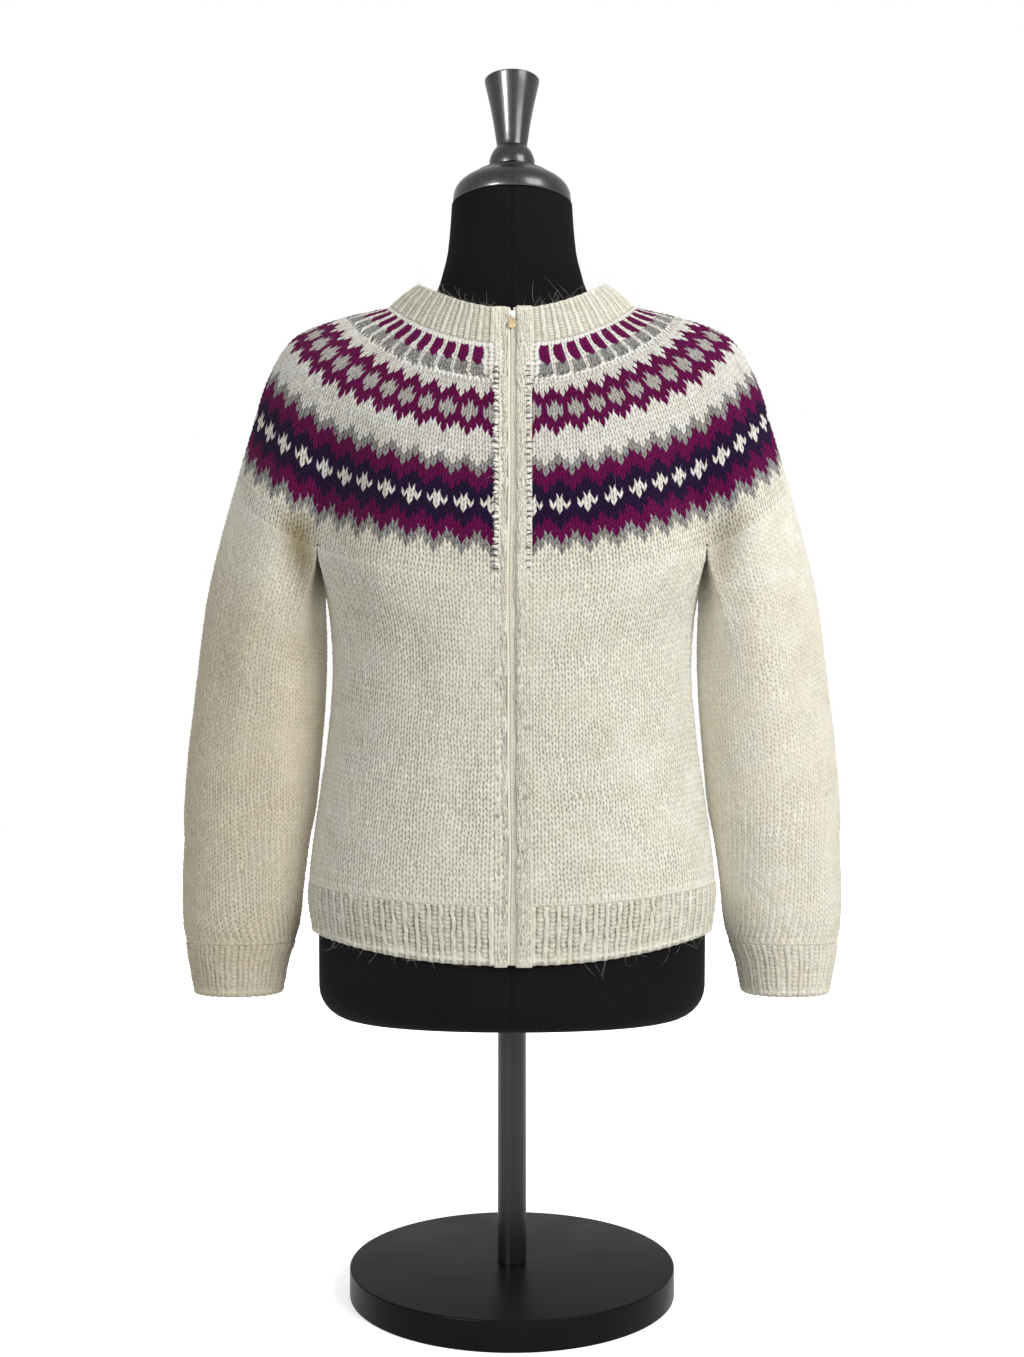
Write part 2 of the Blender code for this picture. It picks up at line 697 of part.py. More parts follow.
def strip(name, edge, normals, sides, depths, look, collection):
    """A strip along the front edge, between two x and two depths behind the cloth's face."""
    rows = len(edge)
    points = []
    for across, deep in ((0, 0), (1, 0), (1, 1), (0, 1)):
        x, depth = sides[across], depths[deep]
        line = edge - normals * depth
        line[:, 0] = x
        points.append(line)
    points = np.stack(points, axis=1).reshape(-1, 3)
    faces = [(0, 1, 2, 3), tuple(4 * (rows - 1) + k for k in (3, 2, 1, 0))]
    for i in range(rows - 1):
        for k in range(4):
            a, b = 4 * i + k, 4 * i + (k + 1) % 4
            faces.append((a, b, b + 4, a + 4))
    return solid(name, points, faces, look, collection)


def edge_below(edge, normals, start):
    """The stretch of the front edge below a walked distance, with a fresh first point there."""
    walked = lengths(edge)
    at = np.concatenate([[start], walked[walked > start]])
    fresh = spread(normals, walked, at)
    fresh /= np.linalg.norm(fresh, axis=1, keepdims=True)
    return spread(edge, walked, at), fresh


def make_zip(edge, normals, looks, cutters, collection):
    """Front bands, tapes, chain, slider and pull."""
    side = PLACKET - SEAM
    tape_front = WALL + SEAM
    band_depths = (-BAND_PROUD, WALL)
    tape_depths = (tape_front, tape_front + TAPE_THICKNESS)
    for name, sides, depths, look in (
        ("front_band_right", (BAND_INNER_RIGHT, side), band_depths, "rib"),
        ("front_band_left", (-side, -BAND_INNER_LEFT), band_depths, "rib"),
        ("zip_tape_right", (TAPE_INNER, TAPE_OUTER), tape_depths, "tape"),
        ("zip_tape_left", (-TAPE_OUTER, -TAPE_INNER), tape_depths, "tape"),
    ):
        strip(name, edge, normals, sides, depths, looks[look], collection)

    walked = lengths(edge)
    place, out = (spread(line, walked, np.array([SLIDER_AT]))[0] for line in (edge, normals))
    lean = math.atan2(-out[2], -out[1])
    below = edge_below(edge, normals, SLIDER_AT - CHAIN_ABOVE_SLIDER)
    sides = (-CHAIN_HALF, CHAIN_HALF)
    strip("zip_chain", *below, sides, (CHAIN_FRONT, CHAIN_BACK), looks["tape"], collection)
    make_slider((0.0, place[1], place[2]), lean, looks, cutters, collection)


def make_slider(place, lean, looks, cutters, collection):
    """The slider round the chain's top and its pull, in a frame that leans with the neckband.

    In that frame Z runs up the cloth and -Y comes out of it, and depths count from the cloth's face.
    """
    front = CHAIN_FRONT - SEAM - SLIDER_PLATE
    front_back = CHAIN_FRONT - SEAM
    back = CHAIN_BACK + SEAM
    half, long = SLIDER_HALF_WIDTH, SLIDER_HALF_LENGTH
    post, lap = POST_HALF_WIDTH, SLIDER_LAP
    metal = looks["slider"]
    slider = block("zip_slider", (-half, front, -long), (half, front_back, long), metal, collection)
    pieces = [
        block("slider_back", (-half, back, -long), (half, back + SLIDER_PLATE, long), metal, cutters),
        block(
            "slider_post", (-post, front_back - lap, POST_LOW), (post, back + lap, POST_HIGH), metal, cutters
        ),
        make_bail(front, metal, cutters),
    ]
    for piece in pieces:
        cut(slider, piece, "UNION")

    pivot_y = front - PIVOT_OUT
    low, high = pivot_y - PULL_THICKNESS / 2, pivot_y + PULL_THICKNESS / 2
    bottom, top = -PIVOT_DOWN - PULL_LENGTH, -PIVOT_DOWN + PULL_ABOVE_PIVOT
    window_top = -PIVOT_DOWN - PULL_ABOVE_PIVOT
    width, hole = PULL_HALF_WIDTH, WINDOW_HALF_WIDTH
    pull = block("zip_pull", (-width, low, bottom), (width, high, top), looks["pull"], collection)
    corners = pull.modifiers.new("Corners", "BEVEL")
    corners.width = PULL_CORNER
    corners.segments = 2
    low, high = low - PULL_THICKNESS, high + PULL_THICKNESS
    window = block(
        "pull_window", (-hole, low, window_top - WINDOW_LENGTH), (hole, high, window_top), metal, cutters
    )
    cut(pull, window, "DIFFERENCE")
    for piece in (slider, pull, window, *pieces):
        piece.location = place
        piece.rotation_euler = (lean, 0, 0)


def make_bail(front, look, collection):
    """The wire arch on the slider's front that the pull hangs from, as a closed mesh."""
    line = bpy.data.curves.new("slider_bail", "CURVE")
    line.dimensions = "3D"
    line.bevel_depth = BAIL_WIRE
    line.bevel_resolution = 2
    line.use_fill_caps = True
    path = line.splines.new("POLY")
    foot = front + SLIDER_LAP
    stops = [(0.0, foot, -PIVOT_DOWN + BAIL_HALF)]
    for a in np.linspace(0, math.pi, 9)[1:-1]:
        out = BAIL_REACH * math.sin(a) ** BAIL_FULLNESS
        stops.append((0.0, front - out, -PIVOT_DOWN + BAIL_HALF * math.cos(a)))
    stops.append((0.0, foot, -PIVOT_DOWN - BAIL_HALF))
    path.points.add(len(stops) - 1)
    for point, stop in zip(path.points, stops):
        point.co = (*stop, 1.0)
    wire = bpy.data.objects.new("slider_bail_path", line)
    collection.objects.link(wire)
    bpy.context.view_layer.update()
    mesh = bpy.data.meshes.new_from_object(wire.evaluated_get(bpy.context.evaluated_depsgraph_get()))
    bpy.data.objects.remove(wire)
    shape = bmesh.new()
    shape.from_mesh(mesh)
    bmesh.ops.remove_doubles(shape, verts=shape.verts, dist=1e-6)
    bmesh.ops.recalc_face_normals(shape, faces=shape.faces)
    shape.to_mesh(mesh)
    shape.free()
    return add_object("slider_bail", mesh, look, collection)


def main():
    for old in list(bpy.data.objects):
        bpy.data.objects.remove(old)
    collection = bpy.data.collections.new("zip_sweater_on_dress_form")
    cutters = bpy.data.collections.new("cutters")
    for made in (collection, cutters):
        bpy.context.scene.collection.children.link(made)
    looks = {
        "wool": material("cream wool", (0.72, 0.67, 0.54), 0.95),
        "rib": material("cream rib", (0.70, 0.65, 0.52), 0.95),
        "pattern": material("patterned yoke", (0.30, 0.16, 0.22), 0.95),
        "tape": material("cream tape", (0.76, 0.72, 0.62), 0.8),
        "slider": material("cream enamel", (0.74, 0.71, 0.64), 0.4, 0.2),
        "pull": material("dull brass", (0.42, 0.33, 0.20), 0.4, 0.9),
        "jersey": material("black jersey", (0.012, 0.012, 0.014), 0.9),
        "wood": material("black lacquered wood", (0.010, 0.010, 0.011), 0.35),
        "steel": material("black powder coat", (0.022, 0.022, 0.023), 0.55, 0.3),
    }
    make_base(looks["steel"], collection)
    make_pole(looks["steel"], collection)
    make_torso(looks["jersey"], cutters, collection)
    make_cap_and_finial(looks["wood"], collection)
    edge, normals = make_knitwear(looks, collection)
    make_zip(edge, normals, looks, cutters, collection)


main()
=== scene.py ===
"""The looks of a zip-up sweater with a patterned yoke, worn by a limbless dress form.

Metres, +Z up, the front faces -Y. Every knitted piece is a closed shell. Its outer side is a smooth
cloth surface, worked out from the tables below, on which each stitch stands as a V of two legs.
Stitch coordinates run along the cloth: columns count stitches anticlockwise, rows count downwards.
"""

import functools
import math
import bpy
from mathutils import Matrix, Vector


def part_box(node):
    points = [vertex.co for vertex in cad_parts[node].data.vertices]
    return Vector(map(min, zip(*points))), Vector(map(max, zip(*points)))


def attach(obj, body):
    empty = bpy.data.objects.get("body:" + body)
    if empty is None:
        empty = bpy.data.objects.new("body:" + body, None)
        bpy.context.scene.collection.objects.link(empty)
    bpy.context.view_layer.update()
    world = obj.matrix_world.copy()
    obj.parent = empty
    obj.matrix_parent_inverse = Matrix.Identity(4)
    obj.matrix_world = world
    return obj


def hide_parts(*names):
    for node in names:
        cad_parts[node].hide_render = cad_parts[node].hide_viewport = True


bl_info = {
    "name": "Knitted yoke sweater on a dress form",
    "version": (1, 0, 0),
    "blender": (4, 5, 0),
    "location": "3D View > Sidebar > Sweater",
    "description": "Knits a zip-up yoke sweater, dresses a limbless form in it and sets up a studio",
    "category": "Object",
}

from collections import namedtuple

import bpy
import numpy as np
from mathutils import Vector

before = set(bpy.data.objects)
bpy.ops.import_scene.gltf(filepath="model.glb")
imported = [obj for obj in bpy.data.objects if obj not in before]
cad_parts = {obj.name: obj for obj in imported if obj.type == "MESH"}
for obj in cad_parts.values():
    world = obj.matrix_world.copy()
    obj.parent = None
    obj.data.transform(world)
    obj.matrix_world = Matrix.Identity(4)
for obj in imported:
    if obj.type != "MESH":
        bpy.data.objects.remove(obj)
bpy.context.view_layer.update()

# ------------------------ shared sizes of the solids
# How thick the knitting is inside its smooth cloth, and half the width of the front opening.
WALL = 0.0023
PLACKET = 0.0150
# Points of a dense ring, grid steps to a stitch and to a row, and rows of a neighbour's margin.
DENSE = 721
GRID_PER_STITCH = 2
GRID_PER_ROW = 4
PAD_ROWS = 2

# The front opening: places across it from the zip's middle, depths behind the cloth's face.
# Each band's stitch columns, from its zip side outwards, and how proud of the cloth it lies.
BAND_COLUMNS = {
    "left": ((0, 1, 1.5, 2.5), (0.0043, 0.0075, 0.0087, 0.0152)),
    "right": ((0, 1, 1.5, 2.5, 3.5), (0.0031, 0.0064, 0.0080, 0.0126, 0.0172)),
}
BAND_PROUD = {"left": 0.0002, "right": 0.0011}
BAND_ROW = 0.0045
BAND_ROLL = 0.0016
BAND_ROLL_DEEP = 0.0009
TAPE_OUTER = 0.0130
TAPE_INNER = 0.0012
TAPE_DEPTH = 0.0026
TAPE_WALL = 0.0010
CORD = (0.0018, 0.0045)
CORD_LIFT = 0.0017
CORD_SIDE = 0.0006
RIGHT_TAPE_LIFT = 0.0009
CHAIN_HALF = 0.0019
CHAIN_FRONT = 0.0010
CHAIN_WALL = 0.0038
COIL_PITCH = 0.0024
CHAIN_TOP = 0.0078
# The waves in which the zip wanders sideways: size, pace down its length and start.
ZIP_WAVES = ((0.0007, 9.5, 0.0), (0.0004, 23.0, 1.0))

# The slider, in a frame whose Z runs up the cloth and whose -Y comes out of it.
SLIDER_AT = 0.0085
SLIDER_HALF = (0.0036, 0.0045)
SLIDER_PLATE = 0.0009
SLIDER_FRONT = 0.0002
SLIDER_BACK = 0.0043
POST_HALF = (0.0012, 0.0015)
POST_UP = 0.0022
SLIDER_POWER = 3.2
SLIDER_NARROW = 0.22
SLIDER_DOME = 0.0003
POST_POWER = 2.4
BAIL_WIRE = 0.0006
BAIL_REACH = 0.0027
BAIL_HALF = 0.0021
BAIL_SINK = 0.0003
PIVOT_OUT = 0.0012
PIVOT_DOWN = 0.0020
PULL_HALF = 0.0034
PULL_NARROW = 0.40
PULL_TOP = 0.0005
PULL_BOTTOM = 0.0125
PULL_HALF_THICKNESS = 0.0005
WINDOW_HALF = (0.0011, 0.00145)
WINDOW_DOWN = 0.00195


def table(columns, *rows):
    """Named columns of a short table, its rows put in the order of the first column."""
    rows = sorted(rows)
    return {name: np.array([row[i] for row in rows]) for i, name in enumerate(columns.split())}


# The upper rings, from the neckband's top edge (-1) through its seam with the yoke (0) to where the
# yoke meets the body and the sleeves (1). dip says how the ring's height falls from side to front.
UPPER = table(
    "ring side_x side_z front_y front_z back_y back_z dip",
    (-1.0, 0.0868, 0.9325, 0.0765, 0.8925, 0.0660, 0.9400, 1.75),
    (-0.5, 0.1000, 0.9245, 0.0825, 0.8755, 0.0735, 0.9290, 1.55),
    (0.0, 0.1125, 0.9137, 0.0885, 0.8575, 0.0800, 0.9160, 1.40),
    (0.2, 0.1580, 0.9025, 0.1005, 0.8190, 0.0935, 0.8800, 1.40),
    (0.4, 0.2020, 0.8840, 0.1110, 0.7800, 0.1020, 0.8400, 1.40),
    (0.6, 0.2265, 0.8450, 0.1180, 0.7400, 0.1070, 0.7930, 1.40),
    (0.8, 0.2420, 0.7950, 0.1225, 0.6970, 0.1085, 0.7290, 1.40),
    (1.0, 0.2575, 0.7420, 0.1240, 0.6500, 0.1060, 0.6550, 1.42),
)
UPPER_POWER = 2.0

# The fold from the yoke down to each underarm: its place round the ring, its depth at the seam, its
# width, and the ring where it starts.
ARMPIT = table(
    "side angle depth width start",
    (0, math.radians(42.2), 0.025, math.radians(9.5), 0.40),
    (1, math.radians(137.8), 0.021, math.radians(9.5), 0.45),
)
UNDERARM_BULGE = 0.0020

# The body below the yoke, by height.
BODY = table(
    "z half front back",
    (0.690, 0.1735, 0.1240, 0.1060),
    (0.650, 0.1700, 0.1245, 0.1045),
    (0.620, 0.1672, 0.1235, 0.1020),
    (0.577, 0.1650, 0.1210, 0.0985),
    (0.520, 0.1690, 0.1200, 0.1000),
    (0.456, 0.1778, 0.1210, 0.1060),
    (0.400, 0.1855, 0.1225, 0.1120),
    (0.372, 0.1875, 0.1232, 0.1145),
    (0.350, 0.1855, 0.1228, 0.1150),
    (0.335, 0.1830, 0.1222, 0.1150),
    (0.315, 0.1822, 0.1220, 0.1150),
)
BODY_POWER = 2.35
HEM_TOP = {"side": 0.381, "front": 0.369, "back": 0.380}
HEM_EDGE = {"side": 0.3367, "front": 0.3188, "back": 0.3350}
HEM_DIP = 3.0
BODY_BLEND = 0.26
SPACING_LEVEL = 0.500

# The right sleeve, by height: its middle, half width and half depth, and how far it hangs forward.
SLEEVE = table(
    "z middle half depth forward",
    (0.742, 0.2163, 0.0418, 0.0600, 0.003),
    (0.716, 0.2200, 0.0452, 0.0590, 0.003),
    (0.679, 0.2245, 0.0496, 0.0575, 0.003),
    (0.642, 0.2276, 0.0534, 0.0560, 0.004),
    (0.605, 0.2292, 0.0568, 0.0540, 0.004),
    (0.550, 0.2330, 0.0595, 0.0510, 0.005),
    (0.493, 0.2384, 0.0606, 0.0480, 0.006),
    (0.456, 0.2413, 0.0602, 0.0460, 0.007),
    (0.4185, 0.2448, 0.0572, 0.0440, 0.008),
    (0.381, 0.2480, 0.0553, 0.0420, 0.008),
    (0.344, 0.2495, 0.0530, 0.0400, 0.009),
    (0.325, 0.2505, 0.0490, 0.0375, 0.009),
    (0.307, 0.2523, 0.0447, 0.0345, 0.009),
    (0.288, 0.2523, 0.0412, 0.0325, 0.009),
    (0.275, 0.2523, 0.0382, 0.0310, 0.009),
)
SLEEVE_POWER = 2.2
CUFF_TOP = 0.326
CUFF_EDGE = 0.2785
SLEEVE_BLEND = 0.30
UNDERARM_ANGLE = math.radians(61)

# Soft folds of each sleeve: the angle round it (0 at the outer side, 90 at the front), the middle
# height, the half height, the half width as an angle and the depth (below 0 for a ridge).
SLEEVE_FOLDS = table(
    "angle middle_z half_z half_angle depth",
    (58, 0.585, 0.150, 22, 0.0036),
    (100, 0.620, 0.130, 18, -0.0030),
    (146, 0.650, 0.110, 18, 0.0070),
    (112, 0.460, 0.120, 24, -0.0014),
    (245, 0.545, 0.150, 24, 0.0036),
)

# Soft folds of body and yoke, each a straight trough (a ridge where depth is below 0) on the front
# (side -1) or the back (side 1): its middle, its lean from upright, half length, half width, depth.
FOLDS = table(
    "side x z lean half_length half_width depth",
    (-1, -0.106, 0.600, 4, 0.075, 0.011, 0.0022),
    (-1, -0.061, 0.588, -6, 0.065, 0.010, 0.0016),
    (-1, 0.083, 0.578, 5, 0.070, 0.012, 0.0018),
    (-1, 0.135, 0.622, -14, 0.055, 0.010, 0.0022),
    (-1, 0.050, 0.480, 0, 0.060, 0.014, 0.0010),
    (-1, -0.120, 0.450, 2, 0.070, 0.014, 0.0012),
    (1, -0.112, 0.590, -5, 0.080, 0.012, 0.0024),
    (1, -0.045, 0.560, 4, 0.075, 0.013, 0.0018),
    (1, 0.030, 0.600, -3, 0.060, 0.011, 0.0014),
    (1, 0.098, 0.572, 7, 0.085, 0.012, 0.0022),
    (1, 0.070, 0.450, -2, 0.060, 0.014, 0.0012),
)

# The dress form's torso, by height.
TORSO = table(
    "z half front back power",
    (0.255, 0.1770, 0.1130, 0.1090, 2.15),
    (0.290, 0.1785, 0.1155, 0.1110, 2.25),
    (0.330, 0.1785, 0.1165, 0.1110, 2.35),
    (0.380, 0.1760, 0.1150, 0.1080, 2.35),
    (0.450, 0.1640, 0.1110, 0.0980, 2.30),
    (0.520, 0.1480, 0.1040, 0.0880, 2.25),
    (0.570, 0.1420, 0.1000, 0.0840, 2.20),
    (0.640, 0.1480, 0.1060, 0.0880, 2.20),
    (0.700, 0.1530, 0.1120, 0.0950, 2.20),
    (0.750, 0.1580, 0.1100, 0.0970, 2.15),
    (0.800, 0.1640, 0.0990, 0.0970, 2.10),
    (0.840, 0.1710, 0.0810, 0.0910, 2.05),
    (0.868, 0.1712, 0.0665, 0.0810, 1.80),
    (0.884, 0.1655, 0.0610, 0.0740, 1.50),
    (0.898, 0.1465, 0.0580, 0.0680, 1.30),
    (0.912, 0.1070, 0.0570, 0.0630, 1.30),
    (0.926, 0.0705, 0.0570, 0.0590, 1.80),
    (0.940, 0.0657, 0.0570, 0.0580, 2.00),
    (0.958, 0.0608, 0.0555, 0.0560, 2.00),
    (0.980, 0.0580, 0.0545, 0.0550, 2.00),
    (1.008, 0.0560, 0.0535, 0.0535, 2.00),
)
TORSO_EDGE = 0.030
TORSO_BOTTOM, TORSO_TOP = TORSO["z"][[0, -1]]
SOCKET_RADIUS = 0.0137
SOCKET_DEPTH = 0.120

# Turned wood, as radius and height, top to bottom.
CAP_PROFILE = (
    (0.0000, 1.0425),
    (0.0130, 1.0424),
    (0.0209, 1.0415),
    (0.0285, 1.0395),
    (0.0332, 1.0372),
    (0.0372, 1.0352),
    (0.0376, 1.0336),
    (0.0400, 1.0330),
    (0.0455, 1.0298),
    (0.0500, 1.0262),
    (0.0536, 1.0210),
    (0.0549, 1.0150),
    (0.0549, 1.0095),
    (0.0540, 1.0083),
    (0.0000, 1.0083),
)
BALL_RADIUS = 0.0214
BALL_CENTRE = 1.0462
BALL_BOTTOM = 1.0428
BALL_NECK = 0.0140
CONE_TOP = 1.1256
CONE_RADIUS = 0.0256
CONE_EDGE = 0.0015
CONE_WAIST = (0.0185, 1.0935)
CONE_FOOT = (BALL_NECK + 0.0004, 1.0668)
POLE_EDGE = 0.0010
BASE_EDGE = 0.0014
POLE_SHINE = 0.30
BASE_SHINE = 0.045

# ------------------------ how the sweater is knitted
# Stitches of half a ring, from the zip's edge to the back's middle, and of one underarm.
FRONT_STITCHES = 28.0
SLEEVE_STITCHES = 42.0
BACK_STITCHES = 30.5
UNDERARM_STITCHES = 20.0
NECK_ROWS = 14
YOKE_ROWS = 47
BODY_ROWS = 60
HEM_ROWS = 13
SLEEVE_ROWS = 85
CUFF_ROWS = 13
# Knit-and-purl pairs round each rib.
NECK_PAIRS = 50.4
HEM_PAIRS = 92.4
CUFF_PAIRS = 29
# The width of a sleeve's stitch, the rows over which the sleeve comes down to it, and the rows over
# which the sleeve's yarn goes from the body's cream to its own tone, which on the left holds painted shade.
SLEEVE_STITCH = 0.0056
SLEEVE_EASE_ROWS = 12
SLEEVE_TONE_ROWS = 24

# Painted shade in the fold before each underarm, where the body keeps the light off: its place across
# at its lowest height, how far it leans outwards and widens with height, where it ends, what the
# painted shade leaves of each colour there, and its share on the right.
SHADE_X = 0.179
SHADE_LOW = 0.620
SHADE_HIGH = 0.735
SHADE_LEAN = 0.14
SHADE_HALF = 0.010
SHADE_WIDENS = 0.09
SHADE_TINT = (0.36, 0.30, 0.20)
SHADE_RIGHT_SHARE = 0.55

# Painted light, a glow that lightens the shaded gap beside the body: its share, and where on the
# sleeves it reaches.
PAINTED_GLOW_SHARE = 0.26
PAINTED_GLOW_OUTER = 0.225
PAINTED_GLOW_TOP = 0.68
PAINTED_GLOW_LOW = 0.33
PAINTED_GLOW_FADE = 0.06

# The yoke's chart: four stitches a repeat, from the zip's edge, with its rows downwards. The first
# eight rows have fewer stitches, so that the others there have no width. C cream, W white, L light
# grey, G mid grey, M plum, P purple.
CHART = (
    "WWWW WWMM WWMM WWMM WWMM WGGG WGGG WGGG WWWW WWWW MWWW MMWM MMMM LMMM LLML LLML LMMM MMMM MMWM "
    "MWWW WWWW WWWW WWWW WWWW GWWW GGWG MGGG MMGM MMMM PMMM PPMP PPPP WPPP WWPW WPPP PPPP PPMP PMMM "
    "MMMM MMGM MGGG GGCG GCCC CCCC CCCC CCCC CCCC"
).split()
REPEAT = 4
# The widths of a repeat's four stitches, by row.
STITCH_WIDTHS = table(
    "row first second third fourth",
    (0.0, 0.60, 0.00, 0.40, 0.00),
    (1.0, 0.47, 0.00, 0.53, 0.00),
    (2.0, 0.31, 0.00, 0.69, 0.00),
    (3.4, 0.29, 0.00, 0.71, 0.00),
    (4.6, 0.44, 0.00, 0.56, 0.00),
    (5.4, 0.26, 0.37, 0.37, 0.00),
    (7.6, 0.26, 0.37, 0.37, 0.00),
    (8.4, 0.25, 0.25, 0.25, 0.25),
    (99., 0.25, 0.25, 0.25, 0.25),
)
# Plain margins beside the zip in the first eight rows, in repeats: at the first stitch and the last;
# they are gone a little after the row where repeats have all four stitches.
MARGINS = (0.35, 0.45)
FIRST_FULL_ROW = 7.6

# A plain stitch: grid columns, steps to a row, how far its legs slant in rows, and the rows at an end
# over which it settles.
LEG_COLUMNS = 4
ROW_STEPS = 2
SLANT = 1.05
EDGE_FADE = 1.5
# Its heights, as shares of the relief: a leg's lowest and how much it swells, a pit's lowest at the
# sides and in the middle and how much it rises once a row. Then how unevenly stitches turn out: fine
# and broad wandering down and across, and in height.
LEG_LOW, LEG_SWELL = 0.66, 0.34
PIT_LOW, PIT_RISE = (0.06, 0.02), 0.50
WANDER_DOWN, WANDER_ACROSS, UNEVEN = (0.19, 0.34), (0.10, 0.16), 0.30
# A rib pair: grid columns, steps to a row, and the knit column's share of it.
RIB_COLUMNS = 10
RIB_STEPS = 3
KNIT_SHARE = 0.4
# Height shares of a stitch's relief: what lies on the smooth cloth, plain and in a rib, and where
# stitches run out.
PLAIN_LEVEL = 0.60
RIB_LEVEL = 0.45
RUN_OUT_BODY = 0.42
# How far a free edge rolls in, how much it swells before that, and how many rows up that lies.
ROLL_IN = 0.0011
RIM_SWELL = 0.85
RIM_ROWS = (0.7, 1.0, 0.55)
# Loose fibres stand only on the first of so many parts of a rib, from its free edge.
RIM_PARTS = 6
# How mottled a plain yarn is, and how far fluff fills the pits between the legs of each piece,
# which lightens the painted shade in them; below 0 it darkens it.
PLAIN_HEATHER = 0.10
BAND_HEATHER = 0.08
HAZE = {"yoke": -0.14, "body": 0.06, "sleeve": 0.24, "band": 0.15}
BAND_LOOSE = 2.0
# The relief value of a shell's inner side, for the shading of its hollows.
INNER_RELIEF = 0.45

# Loose fibres: their radius, points along each, how deep they are rooted, and each piece's number
# of them with their reach.
FIBRE_RADIUS = 0.000038
FIBRE_STEPS = 6
FIBRE_ROOT = 0.0002
FIBRES = {
    "yoke": (950, 0.0055),
    "body": (900, 0.0055),
    "sleeve": (650, 0.0055),
    "open rib": (600, 0.0066),
    "closed rib": (250, 0.0066),
    "band": (150, 0.0045),
}

# The overcast edges beside the zip: first row under the neckband, loops to a side, rows to a loop.
OVERCAST_FIRST = 5
OVERCAST_LOOPS = 34
OVERCAST_STEP = 1.22
# Its two yarns, plump and thin: radius, rows lower, the near and far ends' ranges, rise, chart letters.
OVERCAST_YARNS = (
    (0.0017, 0.0, (0.0112, 0.0128), (0.0150, 0.0172), 0.0006, "WCWWL"),
    (0.00055, 0.5, (0.0098, 0.0122), (0.0158, 0.0192), 0.0018, "PPMPG"),
)

# The first random seed of each piece; the ones after it belong to the same piece.
SEEDS = {
    "yoke": 11, "body": 21, "sleeve_right": 31, "sleeve_left": 41, "neckband": 51, "hem": 61,
    "cuff_right": 71, "cuff_left": 81, "band_right": 91, "band_left": 101, "overcast": 91,
}

# Colours in the wool: what dark flecks leave of a yarn, the pale that light flecks mix in and its
# share, light flecks of a yarn mottled with its own colour, warm patches, the painted shade in the
# hollows and single fibres. Then the form's lint, and what the painted shade between the coil's turns
# leaves of its colour.
FLECK_DARK = (0.28, 0.27, 0.29)
FLECK_PALE = (0.80, 0.79, 0.77)
FLECK_PALE_SHARE = 0.62
FLECK_OWN = (1.6, 2.0, 1.9)
WARM_PATCH = (1.0, 0.985, 0.95)
PAINTED_HOLLOW_SHADE = (0.27, 0.24, 0.18)
FIBRE_PALE = (0.85, 0.83, 0.78)
LINT = (0.10, 0.095, 0.10)
COIL_PAINTED_SHADE = (0.55, 0.52, 0.44)
WHITE = (1, 1, 1, 1)

# ------------------------ the studio
STAGE_RADIUS = 8.0
SENSOR = 36.0
# Each light's place, the point it looks at, its width and whether only gloss shows it.
LIGHTS = {
    "key_light": ((1.75, -1.85, 1.8), (0, 0, 0.6), 1.4, False),
    "side_light": ((-1.25, -1.9, 1.0), (0, 0, 0.5), 0.6, True),
}


# ------------------------ settings
def linear(red, green, blue):
    """A colour given in 0 to 255 as the screen shows it, in the linear values that shaders take."""
    shown = np.array([red, green, blue]) / 255
    return tuple(np.where(shown <= 0.04045, shown / 12.92, ((shown + 0.055) / 1.055) ** 2.4))


def colour_setting(name, description, shown):
    """A colour that a user can change, its default given as linear() takes it."""
    return bpy.props.FloatVectorProperty(
        name=name, description=description, default=linear(*shown), size=3, subtype="COLOR", min=0, max=1
    )


def number_setting(name, description, default, unit="NONE", **limits):
    """A number that a user can change."""
    return bpy.props.FloatProperty(
        name=name, description=description, default=default, unit=unit, **limits
    )


def length_setting(name, description, default):
    """A length in metres that a user can change."""
    return number_setting(name, description, default, "LENGTH", min=0, precision=4)


class SweaterWool(bpy.types.PropertyGroup):
    """Colours of the yarns and the sizes of a stitch."""

    cream: colour_setting("Cream", "Yarn of the body, ribs and bands", (224, 222, 208))
    # The left sleeve is the same yarn as the right; its darker, warmer colour is painted shade.
    sleeve_left: colour_setting("Left sleeve", "Yarn of the left sleeve and cuff", (205, 196, 175))
    sleeve_right: colour_setting("Right sleeve", "Yarn of the right sleeve and cuff", (225, 221, 205))
    white: colour_setting("White", "White yarn of the yoke", (226, 225, 218))
    light_grey: colour_setting("Light grey", "Light heathered yarn of the yoke", (176, 173, 166))
    mid_grey: colour_setting("Mid grey", "Darker heathered yarn of the yoke", (84, 84, 85))
    plum: colour_setting("Plum", "Plum yarn of the yoke", (98, 4, 66))
    purple: colour_setting("Purple", "Dark purple yarn of the yoke", (34, 12, 48))
    relief: length_setting("Stitch relief", "From a stitch's deepest point to its legs' tops", 0.0015)
    rib_relief: length_setting("Rib relief", "From a rib's deepest point to its knit legs' tops", 0.0021)


class SweaterZip(bpy.types.PropertyGroup):
    """Colours of the zip."""

    tape: colour_setting("Tape", "Woven tape of the zip", (222, 218, 203))
    teeth: colour_setting("Teeth", "Coil of the zip", (208, 202, 184))
    enamel: colour_setting("Slider", "Painted metal of the slider", (240, 239, 233))
    brass: colour_setting("Pull", "Dull brass of the pull", (216, 196, 150))


class SweaterForm(bpy.types.PropertyGroup):
    """Colours of the dress form and its stand."""

    jersey: colour_setting("Jersey", "Cloth that covers the form", (14, 13, 16))
    lacquer: colour_setting("Lacquer", "Lacquered wood of cap and finial", (13, 13, 14))
    metal: colour_setting("Stand", "Coated metal of pole and base", (17, 17, 18))


